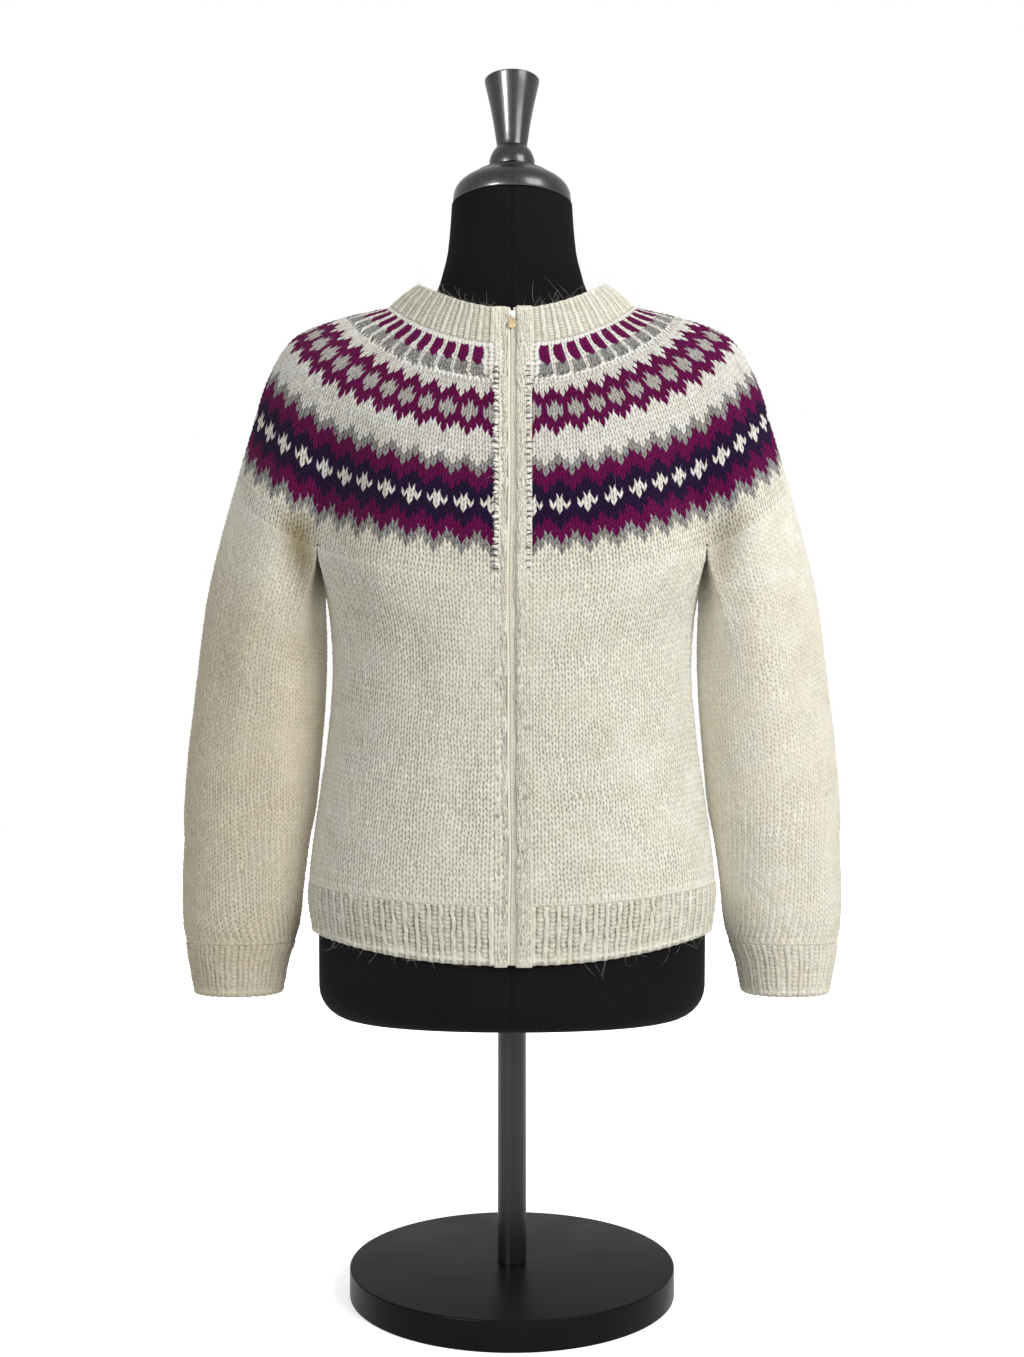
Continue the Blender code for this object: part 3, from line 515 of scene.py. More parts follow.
class SweaterStage(bpy.types.PropertyGroup):
    """The camera, the floor and the lights."""

    distance: length_setting("Camera distance", "From the camera to the form's axis", 1.425)
    height: length_setting("Camera height", "Height of the camera over the floor", 0.506)
    lens: number_setting("Lens", "Focal length on a 36 mm sensor", 40.62, "CAMERA", min=1)
    shift: number_setting("Shift", "Upward shift of the picture, as a share of its longer side", 0.0497)
    floor: colour_setting("Floor", "Pale floor", (250, 250, 249))
    sky: number_setting("Fill", "Strength of the light all round", 0.71)
    key: number_setting("Key", "Power of the big light on the right", 66.0, "POWER")
    side: number_setting("Side", "Power of the small light on the left, seen in gloss alone", 70.0, "POWER")


# ------------------------ shapes from tables
def smooth(rows, column, at):
    """A smooth curve through one column: cubic pieces whose slopes are the rows' central slopes.

    A slope is at most twice the flatter one beside it, and 0 at a turn, so the curve never overshoots.
    """
    key = rows[next(iter(rows))]
    value = rows[column]
    at = np.clip(np.asarray(at, float), key[0], key[-1])
    slope = np.gradient(value, key)
    beside = np.diff(value) / np.diff(key)
    most = 2 * np.minimum(np.abs(beside[1:]), np.abs(beside[:-1])) * (beside[1:] * beside[:-1] > 0)
    slope[1:-1] = np.clip(slope[1:-1], -most, most)
    left = np.clip(np.searchsorted(key, at) - 1, 0, len(key) - 2)
    width = key[left + 1] - key[left]
    f = (at - key[left]) / width
    return (
        (1 + 2 * f) * (1 - f) ** 2 * value[left]
        + f * (1 - f) ** 2 * width * slope[left]
        + f * f * (3 - 2 * f) * value[left + 1]
        + f * f * (f - 1) * width * slope[left + 1]
    )


def ease(value):
    """0 to 1 with flat ends."""
    value = np.clip(value, 0.0, 1.0)
    return value * value * (3 - 2 * value)


def oval(angle, half, front, back, power):
    """Half an outline seen from above, from the front (0) to the back (pi), a superellipse."""
    across = np.abs(np.sin(angle)) ** (2 / power)
    along = np.cos(angle)
    reach = np.abs(along) ** (2 / power)
    return half * across, np.where(along > 0, -front * reach, back * reach)


def soft_power(value, power, soft=0.15):
    """A power of a value from 0 to 1, round instead of sharp at 0 and still 1 at 1."""
    half = power / 2
    return ((value**2 + soft**2) ** half - soft**power) / ((1 + soft**2) ** half - soft**power)


def signed_power(value, power):
    """A power of a value's size, with the value's own sign."""
    return np.sign(value) * np.abs(value) ** power


def full_turn(columns):
    """Angles once round, the last one the same as the first."""
    turn = np.linspace(0, 2 * math.pi, columns)
    turn[-1] = turn[0]
    return turn


def lengths(points):
    """The distance walked to each point of a line."""
    return np.concatenate([[0.0], np.cumsum(np.linalg.norm(np.diff(points, axis=0), axis=1))])


def spread(points, walked, at):
    """Points of a line at the given walked distances."""
    return np.stack([np.interp(at, walked, points[:, k]) for k in range(points.shape[1])], axis=1)


def unit(vectors):
    """Vectors divided by their lengths."""
    return vectors / np.maximum(np.linalg.norm(vectors, axis=-1, keepdims=True), 1e-12)


def soft_noise(seed, down, across):
    """Random numbers from -1 to 1 at whole numbers of down and across, eased between them."""
    size = 101
    value = np.random.default_rng(seed).uniform(-1, 1, (size, size))
    i, j = np.floor(down).astype(int), np.floor(across).astype(int)
    f, g = ease(down - i), ease(across - j)
    near = value[i % size, j % size] * (1 - g) + value[i % size, (j + 1) % size] * g
    far = value[(i + 1) % size, j % size] * (1 - g) + value[(i + 1) % size, (j + 1) % size] * g
    return near * (1 - f) + far * f


# ------------------------ the cloth surfaces
Cloth = namedtuple("Cloth", "points normals first_row per_row per_stitch")


def upper_ring(ring):
    """One ring of neckband or yoke on +X, dense, from the front to the back.

    Seen from above it is an ellipse with two folds pressed in; its height falls from the side to
    the front and the back as a power of the cosine.
    """
    angle = np.linspace(0, math.pi, DENSE)
    get = {name: smooth(UPPER, name, ring) for name in UPPER if name != "ring"}
    x, y = oval(angle, get["side_x"], get["front_y"], get["back_y"], UPPER_POWER)
    end_z = np.where(np.cos(angle) > 0, get["front_z"], get["back_z"])
    z = get["side_z"] + (end_z - get["side_z"]) * soft_power(np.abs(np.cos(angle)), get["dip"])
    for i in (0, 1):
        grown = ease((ring - ARMPIT["start"][i]) / (1 - ARMPIT["start"][i]))
        fold = np.exp(-(((angle - ARMPIT["angle"][i]) / ARMPIT["width"][i]) ** 2))
        y = y - np.sign(y) * ARMPIT["depth"][i] * grown * fold
    return np.stack([x, y, z], axis=1)


def placket_start(points, walked):
    """The walked distance at which a ring leaves the front opening."""
    near = points[:, 0] < 3 * PLACKET
    near[DENSE // 2 :] = False
    return np.interp(PLACKET, points[near, 0], walked[near])


def armpit_shares():
    """The shares of the lowest upper ring at which the two armpit folds stand."""
    points = upper_ring(1.0)
    walked = lengths(points)
    start = placket_start(points, walked)
    at = np.interp(ARMPIT["angle"], np.linspace(0, math.pi, DENSE), walked)
    return (at - start) / (walked[-1] - start)


def grid_columns(stitches):
    """The grid steps in a number of stitches."""
    return int(round(stitches * GRID_PER_STITCH))


def upper_grid(rings):
    """Rings from the zip's edge to the back's middle, with columns evenly spaced between folds."""
    first, second = armpit_shares()
    stops = np.cumsum([0, FRONT_STITCHES, SLEEVE_STITCHES, BACK_STITCHES])
    share = np.interp(np.linspace(0, stops[-1], grid_columns(stops[-1]) + 1), stops, [0, first, second, 1])
    rows = []
    for ring in rings:
        points = upper_ring(ring)
        walked = lengths(points)
        start = placket_start(points, walked)
        rows.append(spread(points, walked, start + share * (walked[-1] - start)))
    return np.array(rows)


def underarm(front, back):
    """The seam under one arm: a straight line with a slight sine bulge outwards."""
    share = np.linspace(0, 1, grid_columns(UNDERARM_STITCHES) + 1)[:, None]
    line = front + (back - front) * share
    line[:, 0] += UNDERARM_BULGE * np.sin(math.pi * share[:, 0])
    return line


def body_outline(turn, z):
    """Half the body seen from above: a superellipse whose sizes follow the height."""
    get = {name: smooth(BODY, name, z) for name in ("half", "front", "back")}
    return oval(turn, get["half"], get["front"], get["back"], BODY_POWER)


def body_grid(seam, shares):
    """Rows from the yoke seam to the hem's edge; share 1 is the hem rib's top.

    Each column keeps its place round a superellipse whose size follows the height, and near the
    seam it keeps the seam's distance from that outline, eased away downwards.
    """
    walked = lengths(seam)
    place = walked / walked[-1]
    angle = np.linspace(0, math.pi, DENSE)
    outline = np.stack([*body_outline(angle, SPACING_LEVEL), 0 * angle], axis=1)
    run = lengths(outline)
    start = placket_start(outline, run)
    turn = np.interp(start + place * (run[-1] - start), run, angle)
    fall = np.abs(np.cos(turn)) ** HEM_DIP
    ahead = np.cos(turn) > 0
    rib_z, edge_z = (
        level["side"] + (np.where(ahead, level["front"], level["back"]) - level["side"]) * fall
        for level in (HEM_TOP, HEM_EDGE)
    )
    x, y = body_outline(turn, seam[:, 2])
    apart = seam[:, 0] - x, seam[:, 1] - y
    rows = []
    for share in shares:
        z = seam[:, 2] + (rib_z - seam[:, 2]) * min(share, 1.0) + (edge_z - rib_z) * (max(share, 1.0) - 1.0)
        x, y = body_outline(turn, z)
        keep = 1 - ease(share / BODY_BLEND)
        rows.append(np.stack([x + apart[0] * keep, y + apart[1] * keep, z], axis=1))
        rows[-1][0, 0] = PLACKET
    return np.array(rows)


def sleeve_folds(turn, z):
    """How far each point of a sleeve lies in its soft folds."""
    depth = np.zeros_like(z)
    for angle, middle, half_z, half_angle, deep in zip(*SLEEVE_FOLDS.values()):
        apart = (np.degrees(turn) - angle + 180) % 360 - 180
        depth += deep * np.exp(-((apart / half_angle) ** 2)) * ease(1 - np.abs(z - middle) / half_z)
    return depth


def sleeve_outline(turn, z):
    """The right sleeve seen from above: a superellipse with its folds pressed in."""
    get = {name: smooth(SLEEVE, name, z) for name in SLEEVE if name != "z"}
    across = signed_power(np.cos(turn), 2 / SLEEVE_POWER)
    along = signed_power(np.sin(turn), 2 / SLEEVE_POWER)
    deep = sleeve_folds(turn, z)
    x = get["middle"] + (get["half"] - deep) * across
    y = -get["forward"] - (get["depth"] - deep) * along
    return x, y


def sleeve_grid(seam, shares):
    """Rows from the yoke seam to the cuff's edge; share 1 is the cuff's top.

    The seam runs from the front armpit round the outside to the back armpit, then under the arm to
    its first point again.
    """
    split = grid_columns(SLEEVE_STITCHES)
    outer = lengths(seam[: split + 1])
    inner = lengths(seam[split:])
    open_half = math.pi - UNDERARM_ANGLE
    turn = np.concatenate(
        [
            open_half - 2 * open_half * outer / outer[-1],
            -open_half - 2 * UNDERARM_ANGLE * inner[1:] / inner[-1],
        ]
    )
    x, y = sleeve_outline(turn, seam[:, 2])
    apart = seam[:, 0] - x, seam[:, 1] - y
    rows = []
    for share in shares:
        z = seam[:, 2] + (CUFF_TOP - seam[:, 2]) * min(share, 1.0)
        z = z + (CUFF_EDGE - CUFF_TOP) * (max(share, 1.0) - 1.0)
        x, y = sleeve_outline(turn, z)
        keep = 1 - ease(share / SLEEVE_BLEND)
        rows.append(np.stack([x + apart[0] * keep, y + apart[1] * keep, z], axis=1))
    return np.array(rows)


def even_rows(grid, count):
    """The same surface with count steps down each column, all of one length in a column."""
    step = np.linalg.norm(np.diff(grid, axis=0), axis=2)
    walked = np.concatenate([np.zeros((1, step.shape[1])), np.cumsum(step, axis=0)])
    share = np.linspace(0, 1, count + 1)
    columns = [spread(grid[:, j], walked[:, j], share * walked[-1, j]) for j in range(grid.shape[1])]
    return np.stack(columns, axis=1)


def outward(grid, closed):
    """Unit normals of a grid: down the rows crossed with along the columns."""
    down = np.gradient(grid, axis=0)
    if closed:
        along = np.gradient(np.concatenate([grid[:, -2:-1], grid, grid[:, 1:2]], axis=1), axis=1)[:, 1:-1]
    else:
        along = np.gradient(grid, axis=1)
    return unit(np.cross(down, along))


def share_normals(*places):
    """Gives the points that several grids share along a seam one normal."""
    total = unit(sum(normals[row, columns] for normals, row, columns in places))
    for normals, row, columns in places:
        normals[row, columns] = total


def folded(points, normals):
    """Presses the soft folds in along the normals, a bell across and eased at both ends."""
    depth = np.zeros(points.shape[:2])
    for side, x, z, lean, half_length, half_width, deep in zip(*FOLDS.values()):
        angle = math.radians(lean)
        right, up = points[..., 0] - x, points[..., 2] - z
        across = right * math.cos(angle) - up * math.sin(angle)
        along = right * math.sin(angle) + up * math.cos(angle)
        facing = ease(normals[..., 1] * side * 2)
        depth += deep * facing * np.exp(-((across / half_width) ** 2)) * ease(1 - np.abs(along) / half_length)
    return points - normals * depth[..., None]


def other_side(grid):
    """The mirror image of a grid on +X, with its columns in reverse, so that it still runs round."""
    grid = grid[:, ::-1].copy()
    grid[..., 0] *= -1
    return grid


def both_sides(half):
    """A half grid on +X joined to its mirror image, with their shared column on the middle plane."""
    half = half.copy()
    half[:, -1, 0] = 0
    return np.concatenate([half, other_side(half)[:, 1:]], axis=1)


def placket(edge):
    """The cloth across the front opening: the zip's edge moved sideways; its columns are metres."""
    grid = np.stack([edge, edge], axis=1)
    grid[..., 0] = (-PLACKET, PLACKET)
    rows = int(round(lengths(edge)[-1] / BAND_ROW))
    grid = even_rows(grid, rows * GRID_PER_ROW)
    return Cloth(grid, outward(grid, False), 0, GRID_PER_ROW, 1 / (2 * PLACKET))


@functools.cache
def cloths():
    """Every knitted surface by name, in stitch coordinates, each with a margin of its neighbours."""
    rings = np.linspace(-1, 1, 161)
    middle = len(rings) // 2
    upper = upper_grid(rings)
    neck = even_rows(upper[: middle + 1], NECK_ROWS * GRID_PER_ROW)
    yoke = even_rows(upper[middle:], YOKE_ROWS * GRID_PER_ROW)
    seam = yoke[-1]
    first = grid_columns(FRONT_STITCHES)
    second = first + grid_columns(SLEEVE_STITCHES)
    under = underarm(seam[first], seam[second])
    u = len(under) - 1
    body_seam = np.concatenate([seam[: first + 1], under[1:-1], seam[second:]])
    sleeve_seam = np.concatenate([seam[first : second + 1], under[-2::-1]])
    shares = np.linspace(0, 2, 401)
    body = body_grid(body_seam, shares)
    sleeve = sleeve_grid(sleeve_seam, shares)
    top = len(shares) // 2
    hem = even_rows(body[top:], HEM_ROWS * GRID_PER_ROW)
    body = even_rows(body[: top + 1], BODY_ROWS * GRID_PER_ROW)
    cuff = even_rows(sleeve[top:], CUFF_ROWS * GRID_PER_ROW)
    sleeve = even_rows(sleeve[: top + 1], SLEEVE_ROWS * GRID_PER_ROW)

    # Whole columns from the neck to the hem give each seam one slope.
    upper = np.concatenate([neck, yoke[1:]])
    lower = np.concatenate([body, hem[1:]])
    arm = np.concatenate([sleeve, cuff[1:]])
    upper_n, lower_n, arm_n = outward(upper, False), outward(lower, False), outward(arm, True)
    s = second - first
    share_normals((upper_n, -1, slice(0, first + 1)), (lower_n, 0, slice(0, first + 1)))
    share_normals((upper_n, -1, slice(second, None)), (lower_n, 0, slice(first + u, None)))
    share_normals((upper_n, -1, slice(first, second + 1)), (arm_n, 0, slice(0, s + 1)))
    arm_n[:, -1] = arm_n[:, 0]
    for normals in (upper_n, lower_n):
        normals[:, -1, 0] = 0
    made = {"placket": placket(np.concatenate([upper[:-1, 0], lower[:, 0]]))}
    upper, lower = folded(upper, upper_n), folded(lower, lower_n)

    pad = PAD_ROWS * GRID_PER_ROW
    neck_last = NECK_ROWS * GRID_PER_ROW
    body_last = BODY_ROWS * GRID_PER_ROW
    sleeve_last = SLEEVE_ROWS * GRID_PER_ROW

    def with_margin(grid, low, side):
        """The yoke with the top of body and sleeve under it, and body or sleeve with the yoke's end."""
        above, below, arms = side
        if low == "yoke":
            rest = np.concatenate([below[:, :first], arms[:, : s + 1], below[:, first + u + 1 :]], axis=1)
            return np.concatenate([grid, rest])
        if low == "body":
            still = np.repeat(grid[:1, first + 1 : first + u], pad, axis=0)
            rest = np.concatenate([above[:, : first + 1], still, above[:, second:]], axis=1)
        else:
            still = np.repeat(grid[:1, s + 1 : -1], pad, axis=0)
            rest = np.concatenate([above[:, first : second + 1], still, above[:, first : first + 1]], axis=1)
        return np.concatenate([rest, grid])

    def pieces(up, down, arms):
        """Each piece's own rows, cut from the whole columns, with its margin."""
        side = up[-pad - 1 : -1], down[1 : pad + 1], arms[1 : pad + 1]
        return {
            "neckband": up[: neck_last + 1],
            "yoke": with_margin(up[neck_last:], "yoke", side),
            "body": with_margin(down[: body_last + 1], "body", side),
            "hem": down[body_last:],
            "sleeve": with_margin(arms[: sleeve_last + 1], "sleeve", side),
            "cuff": arms[sleeve_last:],
        }

    points, normals = pieces(upper, lower, arm), pieces(upper_n, lower_n, arm_n)
    for name in points:
        turns = {"": both_sides}
        if name in ("sleeve", "cuff"):
            turns = {"_right": np.copy, "_left": other_side}
        start = -PAD_ROWS if name in ("body", "sleeve") else 0
        for hand, turn in turns.items():
            grids = turn(points[name]), turn(normals[name])
            made[name + hand] = Cloth(*grids, start, GRID_PER_ROW, GRID_PER_STITCH)
    return made


def on_cloth(cloth, row, column):
    """Points and normals of a cloth at rows and columns in stitches, mixed from the grid around."""
    down = (row - cloth.first_row) * cloth.per_row
    across = column * cloth.per_stitch
    rows, columns = cloth.points.shape[:2]
    i = np.clip(np.floor(down).astype(int), 0, rows - 2)
    j = np.clip(np.floor(across).astype(int), 0, columns - 2)
    f, g = (down - i)[..., None], (across - j)[..., None]
    mixed = []
    for grid in (cloth.points, cloth.normals):
        upper = grid[i, j] * (1 - g) + grid[i, j + 1] * g
        lower = grid[i + 1, j] * (1 - g) + grid[i + 1, j + 1] * g
        mixed.append(upper * (1 - f) + lower * f)
    return mixed[0], unit(mixed[1])


def stitches_round(cloth):
    """The stitches in a cloth's full width."""
    return (cloth.points.shape[1] - 1) / cloth.per_stitch


def own_rows(cloth, rows):
    """The grid of the smooth cloth between its first and last own rows, without its margins."""
    first = -cloth.first_row * cloth.per_row
    return cloth.points[first : first + rows * cloth.per_row + 1]


def cloth_sheet(cloth, rows, held):
    """A knitted piece's sheet: its widest round, its longest way down and its area.

    Each grid cell's area is half the cross product of its diagonals.
    """
    grid = own_rows(cloth, rows)
    wide = np.linalg.norm(np.diff(grid, axis=1), axis=2).sum(axis=1).max()
    long = np.linalg.norm(np.diff(grid, axis=0), axis=2).sum(axis=0).max()
    across, down = grid[1:, 1:] - grid[:-1, :-1], grid[1:, :-1] - grid[:-1, 1:]
    area = float(np.linalg.norm(np.cross(across, down), axis=2).sum() / 2)
    flat = round(float(wide), 3), round(float(long), 3)
    return {"flat": flat, "held": held, "rests_on": ["form_torso"], "area": area}


def strip_sheet(width):
    """The sheet of a strip that runs down the whole front edge."""
    long = float(lengths(cloths()["placket"].points[:, 0])[-1])
    return {"flat": (round(width, 4), round(long, 3)), "held": "draped", "rests_on": ["form_torso"]}


# ------------------------ meshes
def add_mesh(name, points, triangles, material, smooth_faces=True):
    """A mesh object from points and triangles; points at one place become one, flat ones go."""
    points = np.ascontiguousarray(np.round(points, 8) + 0.0)
    keys = points.view([("", points.dtype)] * 3).ravel()
    _, first, same = np.unique(keys, return_index=True, return_inverse=True)
    triangles = same.reshape(-1)[triangles]
    real = (
        (triangles[:, 0] != triangles[:, 1])
        & (triangles[:, 1] != triangles[:, 2])
        & (triangles[:, 2] != triangles[:, 0])
    )
    triangles = triangles[real]
    mesh = bpy.data.meshes.new(name)
    mesh.vertices.add(len(first))
    mesh.vertices.foreach_set("co", points[first].ravel())
    mesh.loops.add(triangles.size)
    mesh.loops.foreach_set("vertex_index", triangles.ravel().astype(np.int32))
    mesh.polygons.add(len(triangles))
    mesh.polygons.foreach_set("loop_start", np.arange(0, triangles.size, 3, dtype=np.int32))
    shade = np.broadcast_to(smooth_faces, real.shape)[real]
    mesh.polygons.foreach_set("use_smooth", shade)
    mesh.update(calc_edges=True)
    mesh.materials.append(material)
    made = bpy.data.objects.new(name, mesh)
    bpy.context.scene.collection.objects.link(made)
    return made, real, first


def add_values(mesh, name, kind, domain, values):
    """An attribute of a mesh: numbers or triples of numbers on its points or faces."""
    made = mesh.attributes.new(name, kind, domain)
    made.data.foreach_set("value" if kind == "FLOAT" else "vector", np.ascontiguousarray(values).ravel())


def quads(first, rows, columns, stride):
    """The corners of a grid's quads, as four arrays: upper left, lower left, lower right, upper right."""
    i, j = np.meshgrid(np.arange(rows), np.arange(columns), indexing="ij")
    a = (first + i * stride + j).ravel()
    return a, a + stride, a + stride + 1, a + 1


def two_each(a, d, c, b):
    """Two triangles for each quad, one after the other."""
    return np.stack([np.stack([a, d, c], axis=1), np.stack([a, c, b], axis=1)], axis=1).reshape(-1, 3)


def shell_triangles(rows, columns, inner_at, open_sides):
    """The triangles of a closed shell between an outer grid of rows by columns steps and an inner
    grid that has only the rows inner_at, and for each triangle the outer quad (row, column) it is by.
    """
    stride = columns + 1
    under = (rows + 1) * stride
    inner_rows = len(inner_at) - 1
    outer = two_each(*quads(0, rows, columns, stride))
    a, d, c, b = quads(under, inner_rows, columns, stride)
    inner = two_each(a, b, c, d)
    row, column = np.divmod(np.arange(rows * columns), columns)
    own = [np.stack([row, column], axis=1).repeat(2, axis=0)]
    row, column = np.divmod(np.arange(inner_rows * columns), columns)
    own.append(np.stack([inner_at[row], column], axis=1).repeat(2, axis=0))
    parts = [outer, inner]
    j = np.arange(columns)
    low, low_under = rows * stride, under + inner_rows * stride
    parts.append(two_each(j, j + 1, under + j + 1, under + j))
    parts.append(two_each(low + j, low_under + j, low_under + j + 1, low + j + 1))
    own.append(np.stack([0 * j, j], axis=1).repeat(2, axis=0))
    own.append(np.stack([0 * j + rows - 1, j], axis=1).repeat(2, axis=0))
    if open_sides:
        m, k = np.arange(rows), np.arange(inner_rows)
        near = np.searchsorted(inner_at, m, side="right") - 1
        for edge, flip in ((0, False), (columns, True)):
            at, beside = m * stride + edge, under + near * stride + edge
            long = np.stack([at, beside, at + stride], axis=1)
            at = under + k * stride + edge
            short = np.stack([at, at + stride, inner_at[k + 1] * stride + edge], axis=1)
            for part, rows_at in ((long, m), (short, inner_at[k])):
                parts.append(part[:, ::-1] if flip else part)
                own.append(np.stack([rows_at, 0 * rows_at + min(edge, columns - 1)], axis=1))
    return np.concatenate(parts), np.concatenate(own), len(outer)


Knit = namedtuple("Knit", "row column lift map relief")
Roots = namedtuple("Roots", "points normals yarn")


def build_shell(name, cloth, knit, material, open_sides, yarn=None, heather=None, wall=WALL, apart=8):
    """A closed shell of cloth.

    Each point lies at (row, column) of the cloth, lift out along the normal; the inner side lies
    wall inside it with the same columns and every few rows. yarn is the colour of each quad and
    heather how mottled it is. Returns the piece and the places where loose fibres may start.
    """
    points, normals = on_cloth(cloth, knit.row, knit.column)
    outer = points + normals * knit.lift[..., None]
    rows, columns = knit.row.shape[0] - 1, knit.row.shape[1] - 1
    inner_at = np.unique(np.append(np.arange(0, rows, apart), rows))
    row = knit.row[inner_at].copy()
    row[1:-1] = knit.map[inner_at[1:-1], :, 1]
    inner_points, inner_normals = on_cloth(cloth, row, knit.column[inner_at])
    inner = inner_points - inner_normals * wall
    if not open_sides:
        outer[:, -1], inner[:, -1] = outer[:, 0], inner[:, 0]
    triangles, own, outer_count = shell_triangles(rows, columns, inner_at, open_sides)
    every = np.concatenate([outer.reshape(-1, 3), inner.reshape(-1, 3)])
    smooth_faces = np.zeros(len(triangles), bool)
    smooth_faces[: outer_count + 2 * (len(inner_at) - 1) * columns] = True
    made, real, first = add_mesh(name, every, triangles, material, smooth_faces)
    places = np.concatenate([knit.map.reshape(-1, 2), knit.map[inner_at].reshape(-1, 2)])
    made.data.uv_layers.new(name="stitches").uv.foreach_set("vector", places[triangles[real]].ravel())
    relief = np.concatenate([knit.relief.ravel(), np.full(inner.size // 3, INNER_RELIEF)])
    add_values(made.data, "relief", "FLOAT", "POINT", relief[first])
    if yarn is None:
        return made, None
    own = own[real]
    add_values(made.data, "yarn", "FLOAT_VECTOR", "FACE", yarn[own[:, 0], own[:, 1]])
    add_values(made.data, "heather", "FLOAT", "FACE", heather[own[:, 0], own[:, 1]])
    roots = Roots(outer[:-1, :-1].reshape(-1, 3), normals[:-1, :-1].reshape(-1, 3), yarn.reshape(-1, 3))
    return made, roots


def tubes(paths, radii, sides, ups):
    """Points and triangles of tubes round many lines at once: a circle square to the line, carried
    along it with a radius for each of its points. A radius of 0 closes an end."""
    count, steps = paths.shape[:2]
    ahead = unit(np.gradient(paths, axis=1))
    beside = unit(np.cross(ahead, ups[:, None, :]))
    up = np.cross(beside, ahead)
    turn = np.arange(sides)[:, None] * 2 * math.pi / sides
    ring = np.cos(turn) * beside[:, :, None] + np.sin(turn) * up[:, :, None]
    points = paths[:, :, None] + radii[..., None, None] * ring
    n, j, k = np.meshgrid(np.arange(count), np.arange(steps - 1), np.arange(sides), indexing="ij")
    first = (n * steps + j) * sides
    a, b = (first + k).ravel(), (first + (k + 1) % sides).ravel()
    return points.reshape(-1, 3), two_each(a, a + sides, b + sides, b)


def rings_mesh(grid):
    """Points and triangles through rings of points, from one pole or edge to the other."""
    rows, columns = grid.shape[:2]
    return grid.reshape(-1, 3), two_each(*quads(0, rows - 1, columns - 1, columns))


def joined(*shapes):
    """Several shapes, each points and triangles, as one."""
    start = np.cumsum([0] + [len(points) for points, _ in shapes])
    triangles = [part + first for (_, part), first in zip(shapes, start)]
    return np.concatenate([points for points, _ in shapes]), np.concatenate(triangles)


def make_fibres(name, roots, seed, kind):
    """Loose fibres that stand off the wool: thin curled spindles.

    Each runs from a point of the cloth along start + length * (t * lean + t^2 * bend + t^3 * back), t
    from 0 to 1; lean is the cloth's normal tilted sideways, bend hangs a little, back turns it round.
    """
    count, reach = FIBRES[kind]
    random = np.random.default_rng(seed)
    pick = random.choice(len(roots.points), count, replace=False)
    start, normal = roots.points[pick], roots.normals[pick]
    lean = random.normal(0, 0.9, (count, 3))
    inwards = np.sum(lean * normal, axis=1, keepdims=True) - random.uniform(0.2, 1.0, (count, 1))
    lean = unit(lean - normal * inwards)
    bend = random.normal(0, 1.5, (count, 3)) - (0, 0, 0.15)
    bend = bend + normal * np.maximum(-np.sum(bend * normal, axis=1, keepdims=True), 0)
    back = random.normal(0, 0.9, (count, 3)) - 0.8 * bend
    t = np.linspace(0, 1, FIBRE_STEPS)[None, :, None]
    long = reach * random.uniform(0.35, 1.2, (count, 1, 1)) ** 2
    way = t * lean[:, None] + t**2 * bend[:, None] + t**3 * back[:, None]
    paths = start[:, None] - normal[:, None] * FIBRE_ROOT + long * way
    radii = np.broadcast_to(FIBRE_RADIUS * np.sin(math.pi * t[..., 0]) ** 0.3, (count, FIBRE_STEPS))
    points, triangles = tubes(paths, radii, 3, unit(np.cross(lean, normal) + 1e-6))
    made, real, _ = add_mesh(name, points, triangles, fibre_wool())
    colour = roots.yarn[pick].repeat(len(triangles) // count, axis=0)
    add_values(made.data, "yarn", "FLOAT_VECTOR", "FACE", colour[real])
    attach(made, "form")


def stepped(rows, steps):
    """The places down a piece, in rows, as a column; steps is how many there are to a row."""
    return np.arange(rows * steps + 1)[:, None] / steps


